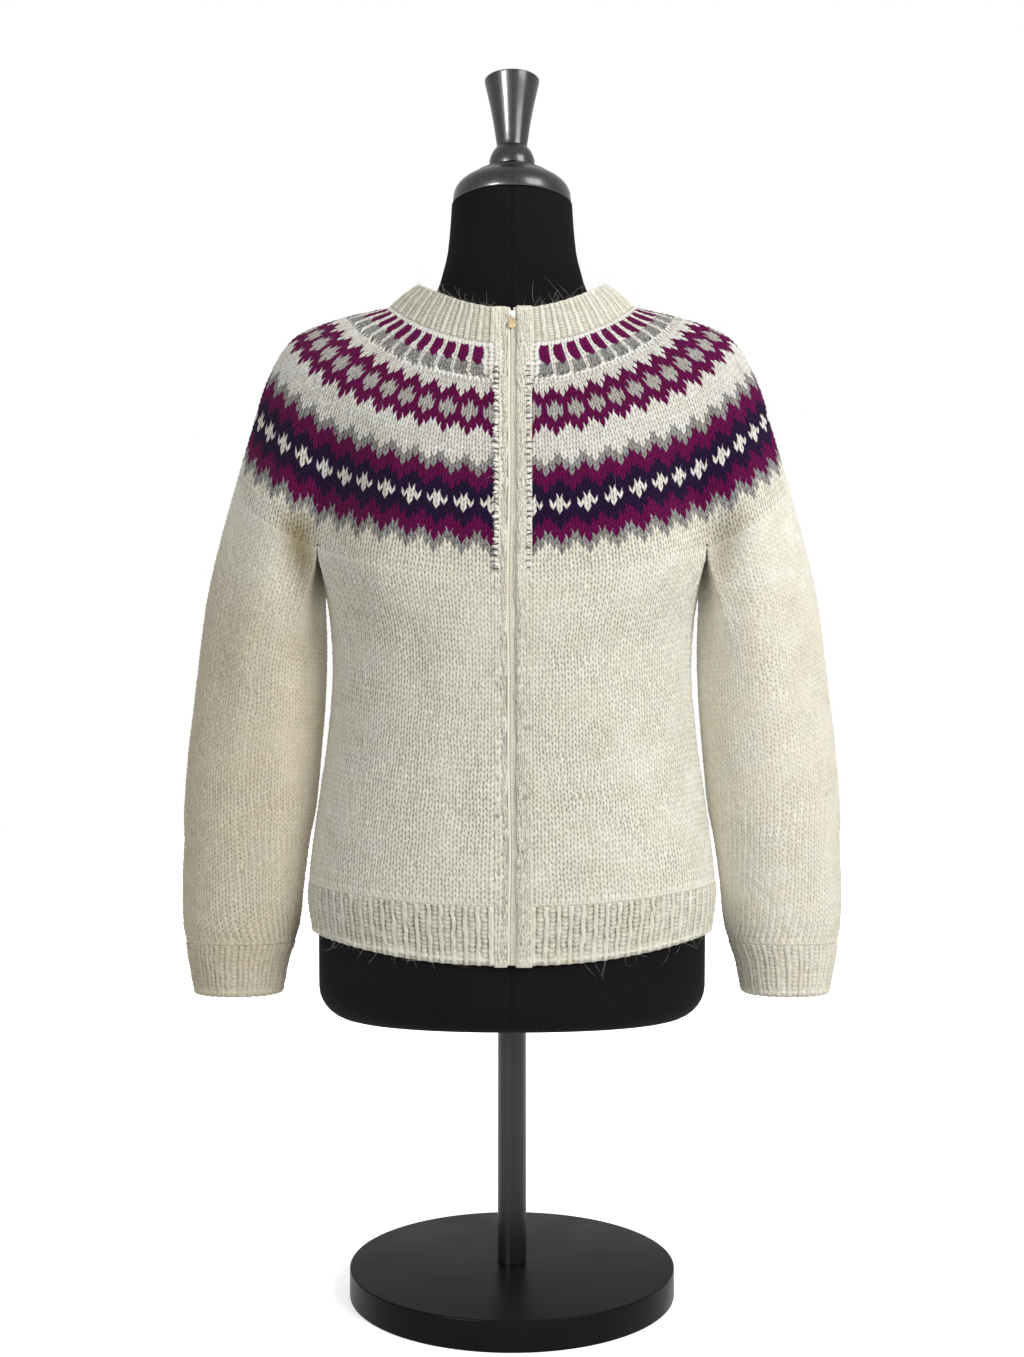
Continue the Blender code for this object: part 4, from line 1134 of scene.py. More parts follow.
def stockinette(seed, rows, columns, place, full, fade, relief, haze, loose=1.0):
    """Stitch coordinates of a knitted grid: every stitch a V of two legs.

    A leg rises from the V's point to its arm as the column goes from the stitch's middle to its
    side: row = count + SLANT * (half - leg). A leg swells halfway down each row. Where two legs part
    there is a pit once a row: at the row's start in a stitch's middle, halfway down at its sides.
    place gives the cloth column of each stitch column, full is 0 where stitches run out and fade is
    0 at a straight edge. haze is how far fluff fills the pits, more in some patches than in others,
    and loose is how unevenly the piece is knitted; at both its ends it is calm, so neighbours meet.
    """
    u = np.arange(columns + 1)[None, :] / LEG_COLUMNS
    p, u = np.broadcast_arrays(stepped(rows, ROW_STEPS), u)
    calm = np.clip(np.minimum(p, rows - p) / EDGE_FADE, 0, 1)
    leg = np.abs(2 * (u % 1) - 1)
    leg = 1 - (1 - leg) * full
    fine, broad = WANDER_DOWN
    wander = fine * soft_noise(seed, p * 1.7, u * 1.9) + broad * soft_noise(seed + 1, p / 7, u / 9)
    row = p + SLANT * (0.5 - leg) * fade + wander * loose * full * calm
    beat = np.sin(math.pi * p) ** 2
    top = 1 - np.abs(2 * leg - 1)
    pit = np.where(leg > 0.5, PIT_LOW[0] + PIT_RISE * (1 - beat), PIT_LOW[1] + PIT_RISE * beat)
    body = pit * (1 - top) + (LEG_LOW + LEG_SWELL * beat) * top
    body = body * (1 + UNEVEN * loose * calm * soft_noise(seed + 2, p * 1.3, u * 2.1))
    body = RUN_OUT_BODY + (body - RUN_OUT_BODY) * full
    filled = np.clip(haze + 0.11 * soft_noise(seed + 5, p / 6, u / 5) + 0.2 * (1 - calm), -0.3, 0.85)
    lift = relief * (body - PLAIN_LEVEL) * (1 - 0.2 * filled) * (0.15 + 0.85 * np.minimum(fade * 2, 1))
    fine, broad = WANDER_ACROSS
    shift = fine * loose * soft_noise(seed + 3, p * 0.9, u * 0.8)
    shift = shift + broad * loose * soft_noise(seed + 4, p / 3, u / 5)
    column = place(shift * full * calm)
    # The relief value that the wool turns into painted shade, lighter where fluff fills the pits.
    shown = np.clip(body, 0, 1)
    shown = np.clip(shown + (1 - shown) * filled, 0, 1)
    return Knit(row, column, lift, np.stack([u, p], axis=2), shown)


def edge_fade(count, top, bottom):
    """1 inside and 0 at the straight edges: top and bottom say which ends are straight."""
    p = stepped(count, ROW_STEPS)
    fade = np.ones_like(p)
    if top:
        fade = np.minimum(fade, p / EDGE_FADE)
    if bottom:
        fade = np.minimum(fade, (count - p) / EDGE_FADE)
    return fade


def held_ends(u, count):
    """1 inside and 0 at both side edges, two stitches wide."""
    return np.minimum(1, np.minimum(u, count - u) / 2)


def one_colour(colour, rows, columns, heather):
    """The same colour and the same mottling for every quad of a piece."""
    return np.broadcast_to(np.array(colour[:]), (rows, columns, 3)), np.full((rows, columns), heather)


def declare(made, node, slot, body="form", **sheet):
    """Puts a piece on its body and hides the solid it stands for; the slot and the sheet are not used."""
    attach(made, body)
    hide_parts(node)


# ------------------------ materials
def node(tree, kind, *inputs, **settings):
    """A node with its settings. Each input in order is a value, a socket to link, or None."""
    made = tree.nodes.new("ShaderNode" + kind)
    for name, value in settings.items():
        setattr(made, name, value)
    for slot, value in zip(made.inputs, inputs):
        if isinstance(value, bpy.types.NodeSocket):
            tree.links.new(value, slot)
        elif value is not None:
            slot.default_value = value
    return made


def maths(tree, operation, *inputs):
    """The result of a Math node."""
    return node(tree, "Math", *inputs, operation=operation).outputs[0]


def times(tree, a, b):
    """Two values multiplied."""
    return maths(tree, "MULTIPLY", a, b)


def plus(tree, total, *others):
    """Values added one after another."""
    for other in others:
        total = maths(tree, "ADD", total, other)
    return total


def mixed(tree, share, a, b, blend="MIX"):
    """Two colours mixed by a share, or blended in another way."""
    made = node(tree, "Mix", share, data_type="RGBA", blend_type=blend)
    for slot, value in ((6, a), (7, b)):
        if isinstance(value, bpy.types.NodeSocket):
            tree.links.new(value, made.inputs[slot])
        else:
            made.inputs[slot].default_value = (*value[:3], 1)
    return made.outputs[2]


def tinted(tree, colour, tint):
    """A colour multiplied by another."""
    return mixed(tree, 1.0, colour, tint, "MULTIPLY")


def toned(colour, share):
    """A setting's colour made darker or lighter."""
    return [part * share for part in colour]


def noise(tree, place, scale, detail=2.0, rough=0.5):
    """Soft noise around a half, scale times finer than a metre."""
    return node(tree, "TexNoise", place, None, scale, detail, rough).outputs[0]


def bands(tree, place, direction, scale, waver, detail=2.0):
    """Wavering parallel bands, as threads lie beside each other."""
    return node(
        tree, "TexWave", place, scale, waver, detail, wave_type="BANDS", bands_direction=direction
    ).outputs["Fac"]


def ranged(tree, value, low, high, to_low=0.0, to_high=1.0):
    """A value from low to high moved to the range from to_low to to_high, and kept inside it."""
    return node(tree, "MapRange", value, low, high, to_low, to_high).outputs[0]


def spot_on(tree):
    """The place on the piece, in metres."""
    return node(tree, "TexCoord").outputs["Object"]


def stored(tree, name, output="Fac"):
    """What the mesh holds under a name."""
    return node(tree, "Attribute", attribute_name=name).outputs[output]


def shaded(name, roughness, metallic=0.0, colour=(0.8, 0.8, 0.8), **extra):
    """A material with its shader: constants go straight on the shader's own sockets."""
    made = bpy.data.materials.new(name)
    made.use_nodes = True
    tree = made.node_tree
    shader = tree.nodes["Principled BSDF"]
    shader.inputs["Roughness"].default_value = roughness
    shader.inputs["Metallic"].default_value = metallic
    shader.inputs["Base Color"].default_value = (*colour[:3], 1)
    for key, value in extra.items():
        shader.inputs[key.replace("_", " ")].default_value = value
    return made, tree, shader


def linked(tree, shader, **sockets):
    """Links what is worked out to the shader's sockets."""
    for key, value in sockets.items():
        tree.links.new(value, shader.inputs[key.replace("_", " ")])


def bumped(tree, shader, height, strength, distance):
    """Small relief in the shading alone, distance deep in metres."""
    bump = node(tree, "Bump", strength, distance, None, height)
    linked(tree, shader, Normal=bump.outputs[0])


@functools.cache
def wool():
    """Plied wool: twisted strands along each leg, loose fibres, mottling and painted warm shade in hollows.
    """
    made, tree, shader = shaded(
        "knitting wool", 0.92, Sheen_Weight=0.03, Sheen_Roughness=0.45, Specular_IOR_Level=0.07
    )
    split = node(tree, "SeparateXYZ", node(tree, "UVMap", uv_map="stitches").outputs[0])
    across, down = split.outputs[0], split.outputs[1]
    within = times(tree, maths(tree, "FRACT", across), 2.0)
    side = maths(tree, "ABSOLUTE", maths(tree, "SUBTRACT", within, 1.0))
    leg = maths(tree, "FLOOR", times(tree, across, 2.0))
    stitch = node(tree, "CombineXYZ", leg, maths(tree, "FLOOR", down)).outputs[0]
    chance = node(tree, "TexWhiteNoise", stitch, noise_dimensions="2D").outputs[0]
    turn = plus(tree, times(tree, down, 2.6), times(tree, side, 1.1), times(tree, chance, 0.6))
    ply = maths(tree, "ABSOLUTE", maths(tree, "SINE", times(tree, turn, math.pi)))
    along = node(tree, "CombineXYZ", times(tree, across, 5.0), times(tree, down, 22.0)).outputs[0]
    fibre = noise(tree, along, 1.0, 3.0, 0.6)
    spot = spot_on(tree)
    mottle = noise(tree, spot, 900.0, 3.0, 0.7)
    patch = noise(tree, spot, 34.0, 3.0)

    yarn = stored(tree, "yarn", "Color")
    heather = stored(tree, "heather")
    dark = tinted(tree, yarn, FLECK_DARK)
    pale = mixed(tree, FLECK_PALE_SHARE, yarn, FLECK_PALE)
    pale = mixed(tree, maths(tree, "GREATER_THAN", heather, 0.0), tinted(tree, yarn, FLECK_OWN), pale)
    fleck = ranged(tree, times(tree, plus(tree, fibre, mottle), 0.5), 0.40, 0.60)
    flecked = mixed(tree, fleck, dark, pale)
    colour = mixed(tree, maths(tree, "ABSOLUTE", heather), yarn, flecked)
    tone = plus(
        tree,
        ranged(tree, fibre, 0.3, 0.7, -0.07, 0.07),
        ranged(tree, patch, 0.3, 0.7, -0.02, 0.015),
        ranged(tree, chance, 0.0, 1.0, -0.05, 0.05),
        ranged(tree, ply, 0.0, 1.0, -0.05, 0.03),
        1.0,
    )
    colour = tinted(tree, colour, node(tree, "CombineXYZ", tone, tone, tone).outputs[0])
    colour = mixed(tree, ranged(tree, patch, 0.58, 0.42), colour, tinted(tree, colour, WARM_PATCH))
    # Painted shade: darker and warmer in the pits and hollows, by the relief value.
    depth = ranged(tree, stored(tree, "relief"), 0.04, 0.62)
    colour = mixed(tree, depth, tinted(tree, colour, PAINTED_HOLLOW_SHADE), colour)
    # Painted light: the wool glows in its own colour where a sleeve faces the body.
    glow_strength = stored(tree, "passed_light")
    linked(tree, shader, Base_Color=colour, Emission_Color=colour, Emission_Strength=glow_strength)
    made.cycles.emission_sampling = "NONE"
    bumped(tree, shader, plus(tree, times(tree, ply, 0.6), times(tree, fibre, 0.7)), 0.6, 0.0006)
    return made


@functools.cache
def fibre_wool():
    """Single fibres: the yarn's colour, paler, with patches that differ a little."""
    made, tree, shader = shaded("loose fibres", 0.9, Specular_IOR_Level=0.05)
    yarn = stored(tree, "yarn", "Color")
    patch = noise(tree, spot_on(tree), 300.0)
    pale = mixed(tree, 0.10, yarn, FIBRE_PALE)
    linked(tree, shader, Base_Color=mixed(tree, ranged(tree, patch, 0.35, 0.65), yarn, pale))
    return made


def jersey(colour):
    """Fine black jersey: tiny knit columns, specks of lint and a seam down the front's middle."""
    made, tree, shader = shaded(
        "form jersey", 0.9, Sheen_Weight=0.01, Sheen_Roughness=0.5, Specular_IOR_Level=0.05
    )
    spot = spot_on(tree)
    fine = bands(tree, spot, "X", 420.0, 1.5)
    across = bands(tree, spot, "Z", 300.0, 2.5)
    lint = noise(tree, spot, 1500.0, 2.0)
    tone = noise(tree, spot, 12.0, 2.0)
    shade = mixed(tree, ranged(tree, tone, 0.3, 0.7), toned(colour, 0.8), toned(colour, 1.3))
    shade = mixed(tree, times(tree, fine, across), shade, toned(colour, 1.9))
    shade = mixed(tree, ranged(tree, lint, 0.70, 0.78, 0.0, 0.3), shade, LINT)
    beside = maths(tree, "ABSOLUTE", node(tree, "SeparateXYZ", spot).outputs[0])
    seam = ranged(tree, beside, 0.0003, 0.0011)
    linked(tree, shader, Base_Color=mixed(tree, seam, toned(colour, 0.6), shade))
    bumped(tree, shader, plus(tree, times(tree, plus(tree, fine, across), 0.5), seam), 0.22, 0.0004)
    return made


def lacquer(colour):
    """Lacquered wood: black, half gloss, with faint grain under the coat."""
    made, tree, shader = shaded("form lacquer", 0.32, Coat_Weight=0.35, Coat_Roughness=0.12)
    grain = node(tree, "Mapping", spot_on(tree), None, None, (60.0, 60.0, 6.0)).outputs[0]
    line = noise(tree, grain, 9.0, 4.0, 0.6)
    shade = mixed(tree, ranged(tree, line, 0.35, 0.65), toned(colour, 0.7), toned(colour, 1.5))
    linked(tree, shader, Base_Color=shade, Roughness=ranged(tree, line, 0.3, 0.7, 0.26, 0.40))
    bumped(tree, shader, line, 0.10, 0.0002)
    return made


def coated_metal(colour, shine):
    """Powder-coated steel: dull black with a fine orange-peel skin."""
    made, tree, shader = shaded("stand metal", 0.45, Specular_IOR_Level=shine)
    spot = spot_on(tree)
    peel = noise(tree, spot, 1400.0, 2.0)
    wear = noise(tree, spot, 22.0, 3.0)
    shade = mixed(tree, ranged(tree, wear, 0.3, 0.7), toned(colour, 0.9), toned(colour, 1.15))
    linked(tree, shader, Base_Color=shade, Roughness=ranged(tree, wear, 0.3, 0.7, 0.30, 0.38))
    bumped(tree, shader, peel, 0.12, 0.0002)
    return made


def woven_tape(colour):
    """Zip tape: fine twill ribs along the tape."""
    made, tree, shader = shaded("zip tape", 0.75, Sheen_Weight=0.2)
    spot = spot_on(tree)
    twill = bands(tree, spot, "DIAGONAL", 900.0, 0.6, 1.0)
    thread = noise(tree, spot, 1600.0, 2.0)
    shade = mixed(tree, times(tree, twill, 0.35), colour, toned(colour, 0.72))
    shade = mixed(tree, ranged(tree, thread, 0.35, 0.65, 0.0, 0.3), shade, toned(colour, 0.8))
    linked(tree, shader, Base_Color=shade)
    bumped(tree, shader, plus(tree, twill, thread), 0.4, 0.0003)
    return made


def enamel(colour):
    """The slider's paint: smooth, with a faint unevenness."""
    made, tree, shader = shaded("zip enamel", 0.30, Coat_Weight=0.2, Coat_Roughness=0.2)
    mark = noise(tree, spot_on(tree), 500.0, 3.0)
    linked(tree, shader, Base_Color=mixed(tree, ranged(tree, mark, 0.3, 0.7), toned(colour, 0.93), colour))
    bumped(tree, shader, mark, 0.08, 0.0002)
    return made


def coil_nylon(colour):
    """Nylon wire, with painted shade between its turns."""
    made, tree, shader = shaded("zip teeth", 0.5)
    # Painted shade: the coil's colour is darker where it sinks between its turns.
    deep = [part * share for part, share in zip(colour, COIL_PAINTED_SHADE)]
    depth = ranged(tree, stored(tree, "relief"), 0.25, 0.70)
    linked(tree, shader, Base_Color=mixed(tree, depth, deep, colour))
    return made


def dull_brass(colour):
    """Brass gone dull: brown in patches and brighter where it is rubbed."""
    made, tree, shader = shaded("dull brass", 0.42, 0.55)
    patch = noise(tree, spot_on(tree), 380.0, 4.0, 0.65)
    shade = mixed(tree, ranged(tree, patch, 0.35, 0.65), toned(colour, 0.6), colour)
    linked(tree, shader, Base_Color=shade, Roughness=ranged(tree, patch, 0.3, 0.7, 0.55, 0.36))
    bumped(tree, shader, patch, 0.15, 0.0002)
    return made


def pale_floor(colour):
    """A white floor that glows more the further it is from the middle."""
    made, tree, shader = shaded("pale floor", 0.9, colour=colour, Emission_Color=WHITE)
    away = node(tree, "VectorMath", spot_on(tree), operation="LENGTH").outputs["Value"]
    linked(tree, shader, Emission_Strength=ranged(tree, away, 0.25, 1.0, 0.45, 1.0))
    return made


def white_backdrop():
    """A white that glows by itself and takes no light."""
    made, _, _ = shaded(
        "white backdrop", 1.0, colour=(0, 0, 0), Specular_IOR_Level=0,
        Emission_Color=WHITE, Emission_Strength=1.0,
    )
    return made


# ------------------------ knitted pieces
def yarn_colours(s):
    """Each chart letter's colour and how mottled its yarn is, below 0 with flecks of its own colour."""
    return {
        "C": (s.cream, 0.08),
        "W": (s.white, 0.22),
        "L": (s.light_grey, 0.62),
        "G": (s.mid_grey, 0.95),
        "M": (s.plum, -0.75),
        "P": (s.purple, -0.75),
    }


def painted_fold_shade(cloth, knit):
    """Painted shade before the underarms: what is left of the yarn's colour, a bell across each fold."""
    places = on_cloth(cloth, knit.row[:-1, :-1], knit.column[:-1, :-1])[0]
    x, y, z = places[..., 0], places[..., 1], places[..., 2]
    up = z - SHADE_LOW
    across = (np.abs(x) - SHADE_X - SHADE_LEAN * up) / (SHADE_HALF + SHADE_WIDENS * np.abs(up))
    deep = np.exp(-(across**2)) * ease(up / 0.06) * ease((SHADE_HIGH - z) / 0.04) * ease(-y / 0.02)
    deep = deep * np.where(x < 0, 1.0, SHADE_RIGHT_SHARE)
    return 1 - deep[..., None] * (1 - np.array(SHADE_TINT))


def make_yoke(settings):
    """The patterned yoke: four stitches a repeat from row 8 on, fewer above, coloured by the chart.

    Each stitch column lies at its repeat's number, plus the widths of the stitches before it there,
    plus its own share; all are then scaled to the yoke's full width.
    """
    cloth = cloths()["yoke"]
    total = stitches_round(cloth)
    repeats = int(total) // REPEAT
    stitches = repeats * REPEAT + 1
    columns = stitches * LEG_COLUMNS

    u = np.arange(columns + 1) / LEG_COLUMNS
    stitch = np.minimum(np.floor(u).astype(int), stitches - 1)
    within = u - stitch
    repeat, part = np.divmod(stitch, REPEAT)
    p = stepped(YOKE_ROWS, ROW_STEPS)
    given_row, *widths = STITCH_WIDTHS.values()
    wide = np.stack([np.interp(p[:, 0], given_row, width) for width in widths], axis=-1)
    done = np.concatenate([np.zeros((len(wide), 1)), np.cumsum(wide, axis=1)], axis=1)
    at = repeat[None, :] + done[:, part] + wide[:, part] * within[None, :]
    early = 1 - ease((p - FIRST_FULL_ROW) / 0.8)
    first, last = MARGINS
    at = at + early * (first * np.minimum(u, 1) + last * np.maximum(u - stitches + 1, 0))
    at = at * total / (repeats + wide[:, :1] + early * (first + last))
    full = np.minimum(1, wide[:, part] * 8)
    fade = edge_fade(YOKE_ROWS, True, False) * (0.4 + 0.6 * ease((p - 4.5) / 2))

    def place(shift):
        """The cloth column of each stitch column."""
        return at + shift * held_ends(u, stitches)

    seed = SEEDS["yoke"]
    knit = stockinette(seed, YOKE_ROWS, columns, place, full, fade, settings.relief, HAZE["yoke"])
    colours = yarn_colours(settings)
    letters = np.array([list(row) for row in CHART])
    quad_row = np.arange(YOKE_ROWS * ROW_STEPS) // ROW_STEPS
    quad_stitch = np.arange(columns) // LEG_COLUMNS
    picked = letters[quad_row][:, quad_stitch % REPEAT]
    yarn = np.zeros((*picked.shape, 3))
    heather = np.zeros(picked.shape)
    for letter, (colour, mottled) in colours.items():
        yarn[picked == letter] = colour[:]
        heather[picked == letter] = mottled
    # Painted shade in the folds before the underarms.
    yarn = yarn * painted_fold_shade(cloth, knit)
    made, roots = build_shell("yoke_knit", cloth, knit, wool(), True, yarn, heather)
    make_fibres("yoke_fibres", roots, seed + 1, "yoke")
    declare(made, "yoke", "knit_pattern", **cloth_sheet(cloth, YOKE_ROWS, "draped"))


def make_body(settings):
    """The plain body: one tube, open down the front."""
    cloth = cloths()["body"]
    total = stitches_round(cloth)
    columns = int(round(total)) * LEG_COLUMNS
    first, last = FRONT_STITCHES, FRONT_STITCHES + UNDERARM_STITCHES
    p = stepped(BODY_ROWS, ROW_STEPS)
    u = np.arange(columns + 1)[None, :] / LEG_COLUMNS
    near = np.minimum(u, total - u)
    under = (near >= first) & (near <= last)
    fade = edge_fade(BODY_ROWS, False, True) * np.where(under, np.minimum(p / EDGE_FADE, 1), 1)

    def place(shift):
        """The cloth column of each stitch column."""
        return u + shift * held_ends(u, total)

    seed = SEEDS["body"]
    full = np.ones_like(fade)
    knit = stockinette(seed, BODY_ROWS, columns, place, full, fade, settings.relief, HAZE["body"])
    yarn, heather = one_colour(settings.cream, BODY_ROWS * ROW_STEPS, columns, PLAIN_HEATHER)
    made, roots = build_shell("body_knit", cloth, knit, wool(), True, yarn, heather)
    make_fibres("body_fibres", roots, seed + 1, "body")
    declare(made, "body", "knit_body", **cloth_sheet(cloth, BODY_ROWS, "draped"))


def make_sleeve(hand, settings):
    """One sleeve: stitches of one width, so that they run out one by one along the arm's inside.

    Each stitch column lies as many stitch widths from the arm's outer side as its own number says,
    until half the girth is reached there.
    """
    name = "sleeve_" + hand
    seed = SEEDS[name]
    cloth = cloths()[name]
    total = stitches_round(cloth)
    half = total / 2
    girth = np.linalg.norm(np.diff(own_rows(cloth, SLEEVE_ROWS), axis=1), axis=2).sum(axis=1)
    p = stepped(SLEEVE_ROWS, ROW_STEPS)
    girth = np.interp(p, np.arange(len(girth)) / cloth.per_row, girth)
    grown = np.maximum(1.0, SLEEVE_STITCH * total / girth)
    grown = 1 + (grown - 1) * ease(p / SLEEVE_EASE_ROWS)
    columns = int(round(total)) * LEG_COLUMNS
    u = np.arange(columns + 1)[None, :] / LEG_COLUMNS
    centre = SLEEVE_STITCHES / 2 + (UNDERARM_STITCHES if hand == "left" else 0)
    spread_out = (u - half) * grown
    full = np.clip((half - np.abs(spread_out)) * 2, 0, 1)
    spread_out = np.clip(spread_out, -half, half)
    cloth = rolled(cloth, centre - half)
    under = np.abs(u - half) >= SLEEVE_STITCHES / 2
    fade = edge_fade(SLEEVE_ROWS, False, True) * np.where(under, np.minimum(p / EDGE_FADE, 1), 1)

    def place(shift):
        """The cloth column of each stitch column."""
        return spread_out + half + shift

    knit = stockinette(seed, SLEEVE_ROWS, columns, place, full, fade, settings.relief, HAZE["sleeve"])
    # On the left sleeve the own colour holds painted shade.
    share = ease(p[:-1, :, None] / SLEEVE_TONE_ROWS)
    cream, own = np.array(settings.cream[:]), np.array(getattr(settings, name)[:])
    yarn = np.broadcast_to(cream + (own - cream) * share, (SLEEVE_ROWS * ROW_STEPS, columns, 3))
    # Painted shade in the folds before the underarms.
    yarn = yarn * painted_fold_shade(cloth, knit)
    heather = np.full(yarn.shape[:2], PLAIN_HEATHER)
    made, roots = build_shell("sleeve_knit_" + hand, cloth, knit, wool(), False, yarn, heather)
    # Painted light on the sleeve's inner side.
    add_painted_glow(made)
    make_fibres("sleeve_fibres_" + hand, roots, seed + 1, "sleeve")
    declare(made, name, "knit_sleeve", **cloth_sheet(cloth, SLEEVE_ROWS, "hung"))


def add_painted_glow(sleeve):
    """Painted light: a glow where the sleeve faces the body across the narrow, shaded gap.

    It grows with how far the surface faces the body, and only on the sleeve's inner half.
    """
    count = len(sleeve.data.vertices)
    place, facing = np.empty(count * 3), np.empty(count * 3)
    sleeve.data.vertices.foreach_get("co", place)
    sleeve.data.vertices.foreach_get("normal", facing)
    x, _, z = place.reshape(-1, 3).T
    inward = np.clip(-np.sign(x) * facing.reshape(-1, 3)[:, 0], 0, 1)
    level = ease((PAINTED_GLOW_TOP - z) / PAINTED_GLOW_FADE) * ease((z - PAINTED_GLOW_LOW) / PAINTED_GLOW_FADE)
    near = ease((PAINTED_GLOW_OUTER - np.abs(x)) / 0.02) * level
    add_values(sleeve.data, "passed_light", "FLOAT", "POINT", PAINTED_GLOW_SHARE * inward**1.5 * near)


def rolled(cloth, stitches):
    """A closed cloth whose first column is moved round by a number of stitches."""
    step = int(round(stitches * cloth.per_stitch))
    grids = []
    for grid in (cloth.points, cloth.normals):
        turned = np.roll(grid[:, :-1], -step, axis=1)
        grids.append(np.concatenate([turned, turned[:, :1]], axis=1))
    return cloth._replace(points=grids[0], normals=grids[1])


def rib_knit(seed, rows, pairs, cloth, relief, free, closed, uneven):
    """Stitch coordinates of knit-one-purl-one rib.

    Each pair has a raised knit column of two slanting legs and a sunken purl column of small
    arched bumps, one a row, with a hole of uneven depth beside the knit column between two bumps.
    A free edge swells to a rim and its last row is rolled inwards; free is -1 for a free upper edge
    and 1 for a free lower one. uneven says how much holes and stitches differ.
    """
    total = stitches_round(cloth)
    columns = int(round(pairs * RIB_COLUMNS))
    u = np.arange(columns + 1)[None, :] / RIB_COLUMNS
    p, u = np.broadcast_arrays(stepped(rows, RIB_STEPS), u)
    t = u % 1
    t = np.where(t > 1 - 1e-9, 0, t)
    knit = t <= KNIT_SHARE + 1e-9
    leg = np.abs(2 * t / KNIT_SHARE - 1)
    purl = np.clip((t - KNIT_SHARE) / (1 - KNIT_SHARE), 0, 1)
    arch = np.sin(math.pi * purl)
    fade = np.minimum(1, np.minimum(p, rows - p) / EDGE_FADE)
    wander = 0.16 * soft_noise(seed, p * 1.5, u * 3.1) + 0.32 * soft_noise(seed + 1, p / 4, u / 3)
    slanted = np.where(knit, SLANT * (0.5 - leg), -SLANT / 2 + 0.35 * arch)
    row = p + (slanted + wander) * fade
    bar = 0.5 + 0.5 * np.cos(2 * math.pi * p)
    beside = np.minimum(np.abs(t - KNIT_SHARE), np.minimum(t, 1 - t))
    chance = soft_noise(seed + 5, p, 2 * np.floor(u + 0.3))
    deep = np.clip(0.45 + 0.2 * uneven + 1.3 * uneven * chance, 0, 1.7)
    hole = np.exp(-((beside / 0.10) ** 2)) * (1 - bar) ** 2 * deep
    raised = np.where(leg > 0.9, 0.42, np.where(leg < 0.1, 0.66, 1.0))
    swell = 0.76 + 0.24 * np.abs(np.sin(math.pi * p))
    body = np.where(knit, raised * swell, 0.20 + 0.14 * arch + 0.38 * bar * arch**0.5)
    body = body - 0.5 * np.where(knit & (leg < 0.9), 0, hole)
    body = body * (1 + (0.12 + 0.14 * uneven) * soft_noise(seed + 2, p * 1.6, u * 3.3))
    end = (rows - p) if free > 0 else p
    rolled_rows, swollen_at, swollen_half = RIM_ROWS
    rolled_in = ease(1 - end / rolled_rows)
    swollen = np.exp(-(((end - swollen_at) / swollen_half) ** 2))
    swollen = swollen * (0.45 + 0.3 * soft_noise(seed + 6, p, u * 4.1))
    body = body * (1 - swollen) + RIM_SWELL * swollen
    lift = relief * (body - RIB_LEVEL + 0.40 * swollen) * (1 - rolled_in) - ROLL_IN * rolled_in
    scallop = 0.22 * np.where(knit, 1 - 0.3 * leg, 0.4 - 0.6 * arch) * ease(1 - end / 2.5)
    row = row + scallop * free * 0.6
    inside = ease(np.minimum(p, rows - p) / 2 + 0.3)
    wobble = (0.035 + 0.05 * uneven) * soft_noise(seed + 3, p / 1.7, u * 1.1) * inside
    place = u + wobble * (1 if closed else np.minimum(1, np.minimum(u, pairs - u)))
    column = place * total / pairs
    if closed:
        column = column % total
        column[:, -1] = column[:, 0]
    # The relief value that the wool turns into painted shade, a little lighter on a closed cuff.
    shown = np.clip(body * 0.9 + 0.12 * closed, 0, 1)
    return Knit(row, column, lift, np.stack([u * 2, p], axis=2), shown), columns


def make_rib(name, node_name, rows, pairs, free, uneven, colour, settings):
    """One rib: neckband or hem, open in front, or a closed cuff, with loose fibres near its free edge."""
    closed = name.startswith("cuff")
    cloth = cloths()[name]
    seed = SEEDS[name]
    knit, columns = rib_knit(seed, rows, pairs, cloth, settings.rib_relief, free, closed, uneven)
    yarn, heather = one_colour(colour, rows * RIB_STEPS, columns, PLAIN_HEATHER)
    short, _, hand = name.partition("_")
    side = "_" + hand if hand else ""
    made, roots = build_shell(f"{short}_knit{side}", cloth, knit, wool(), not closed, yarn, heather)
    near_edge = len(roots.points) // RIM_PARTS
    rim = slice(0, near_edge) if free < 0 else slice(-near_edge, None)
    rim = Roots(*(values[rim] for values in roots))
    kind, held = ("closed rib", "hung") if closed else ("open rib", "draped")
    make_fibres(f"{short}_fibres{side}", rim, seed + 1, kind)
    declare(made, node_name, "knit_rib", **cloth_sheet(cloth, rows, held))


# ------------------------ the zip and its bands
def placket_rows():
    """The rows of a front band."""
    cloth = cloths()["placket"]
    return (len(cloth.points) - 1) // cloth.per_row


def sway(row):
    """How far the zip wanders sideways on its way down: two slow waves, none at its ends."""
    t = row / placket_rows()
    wave = sum(size * np.sin(pace * t + start) for size, pace, start in ZIP_WAVES)
    return wave * ease(t * 8) * ease((1 - t) * 8)


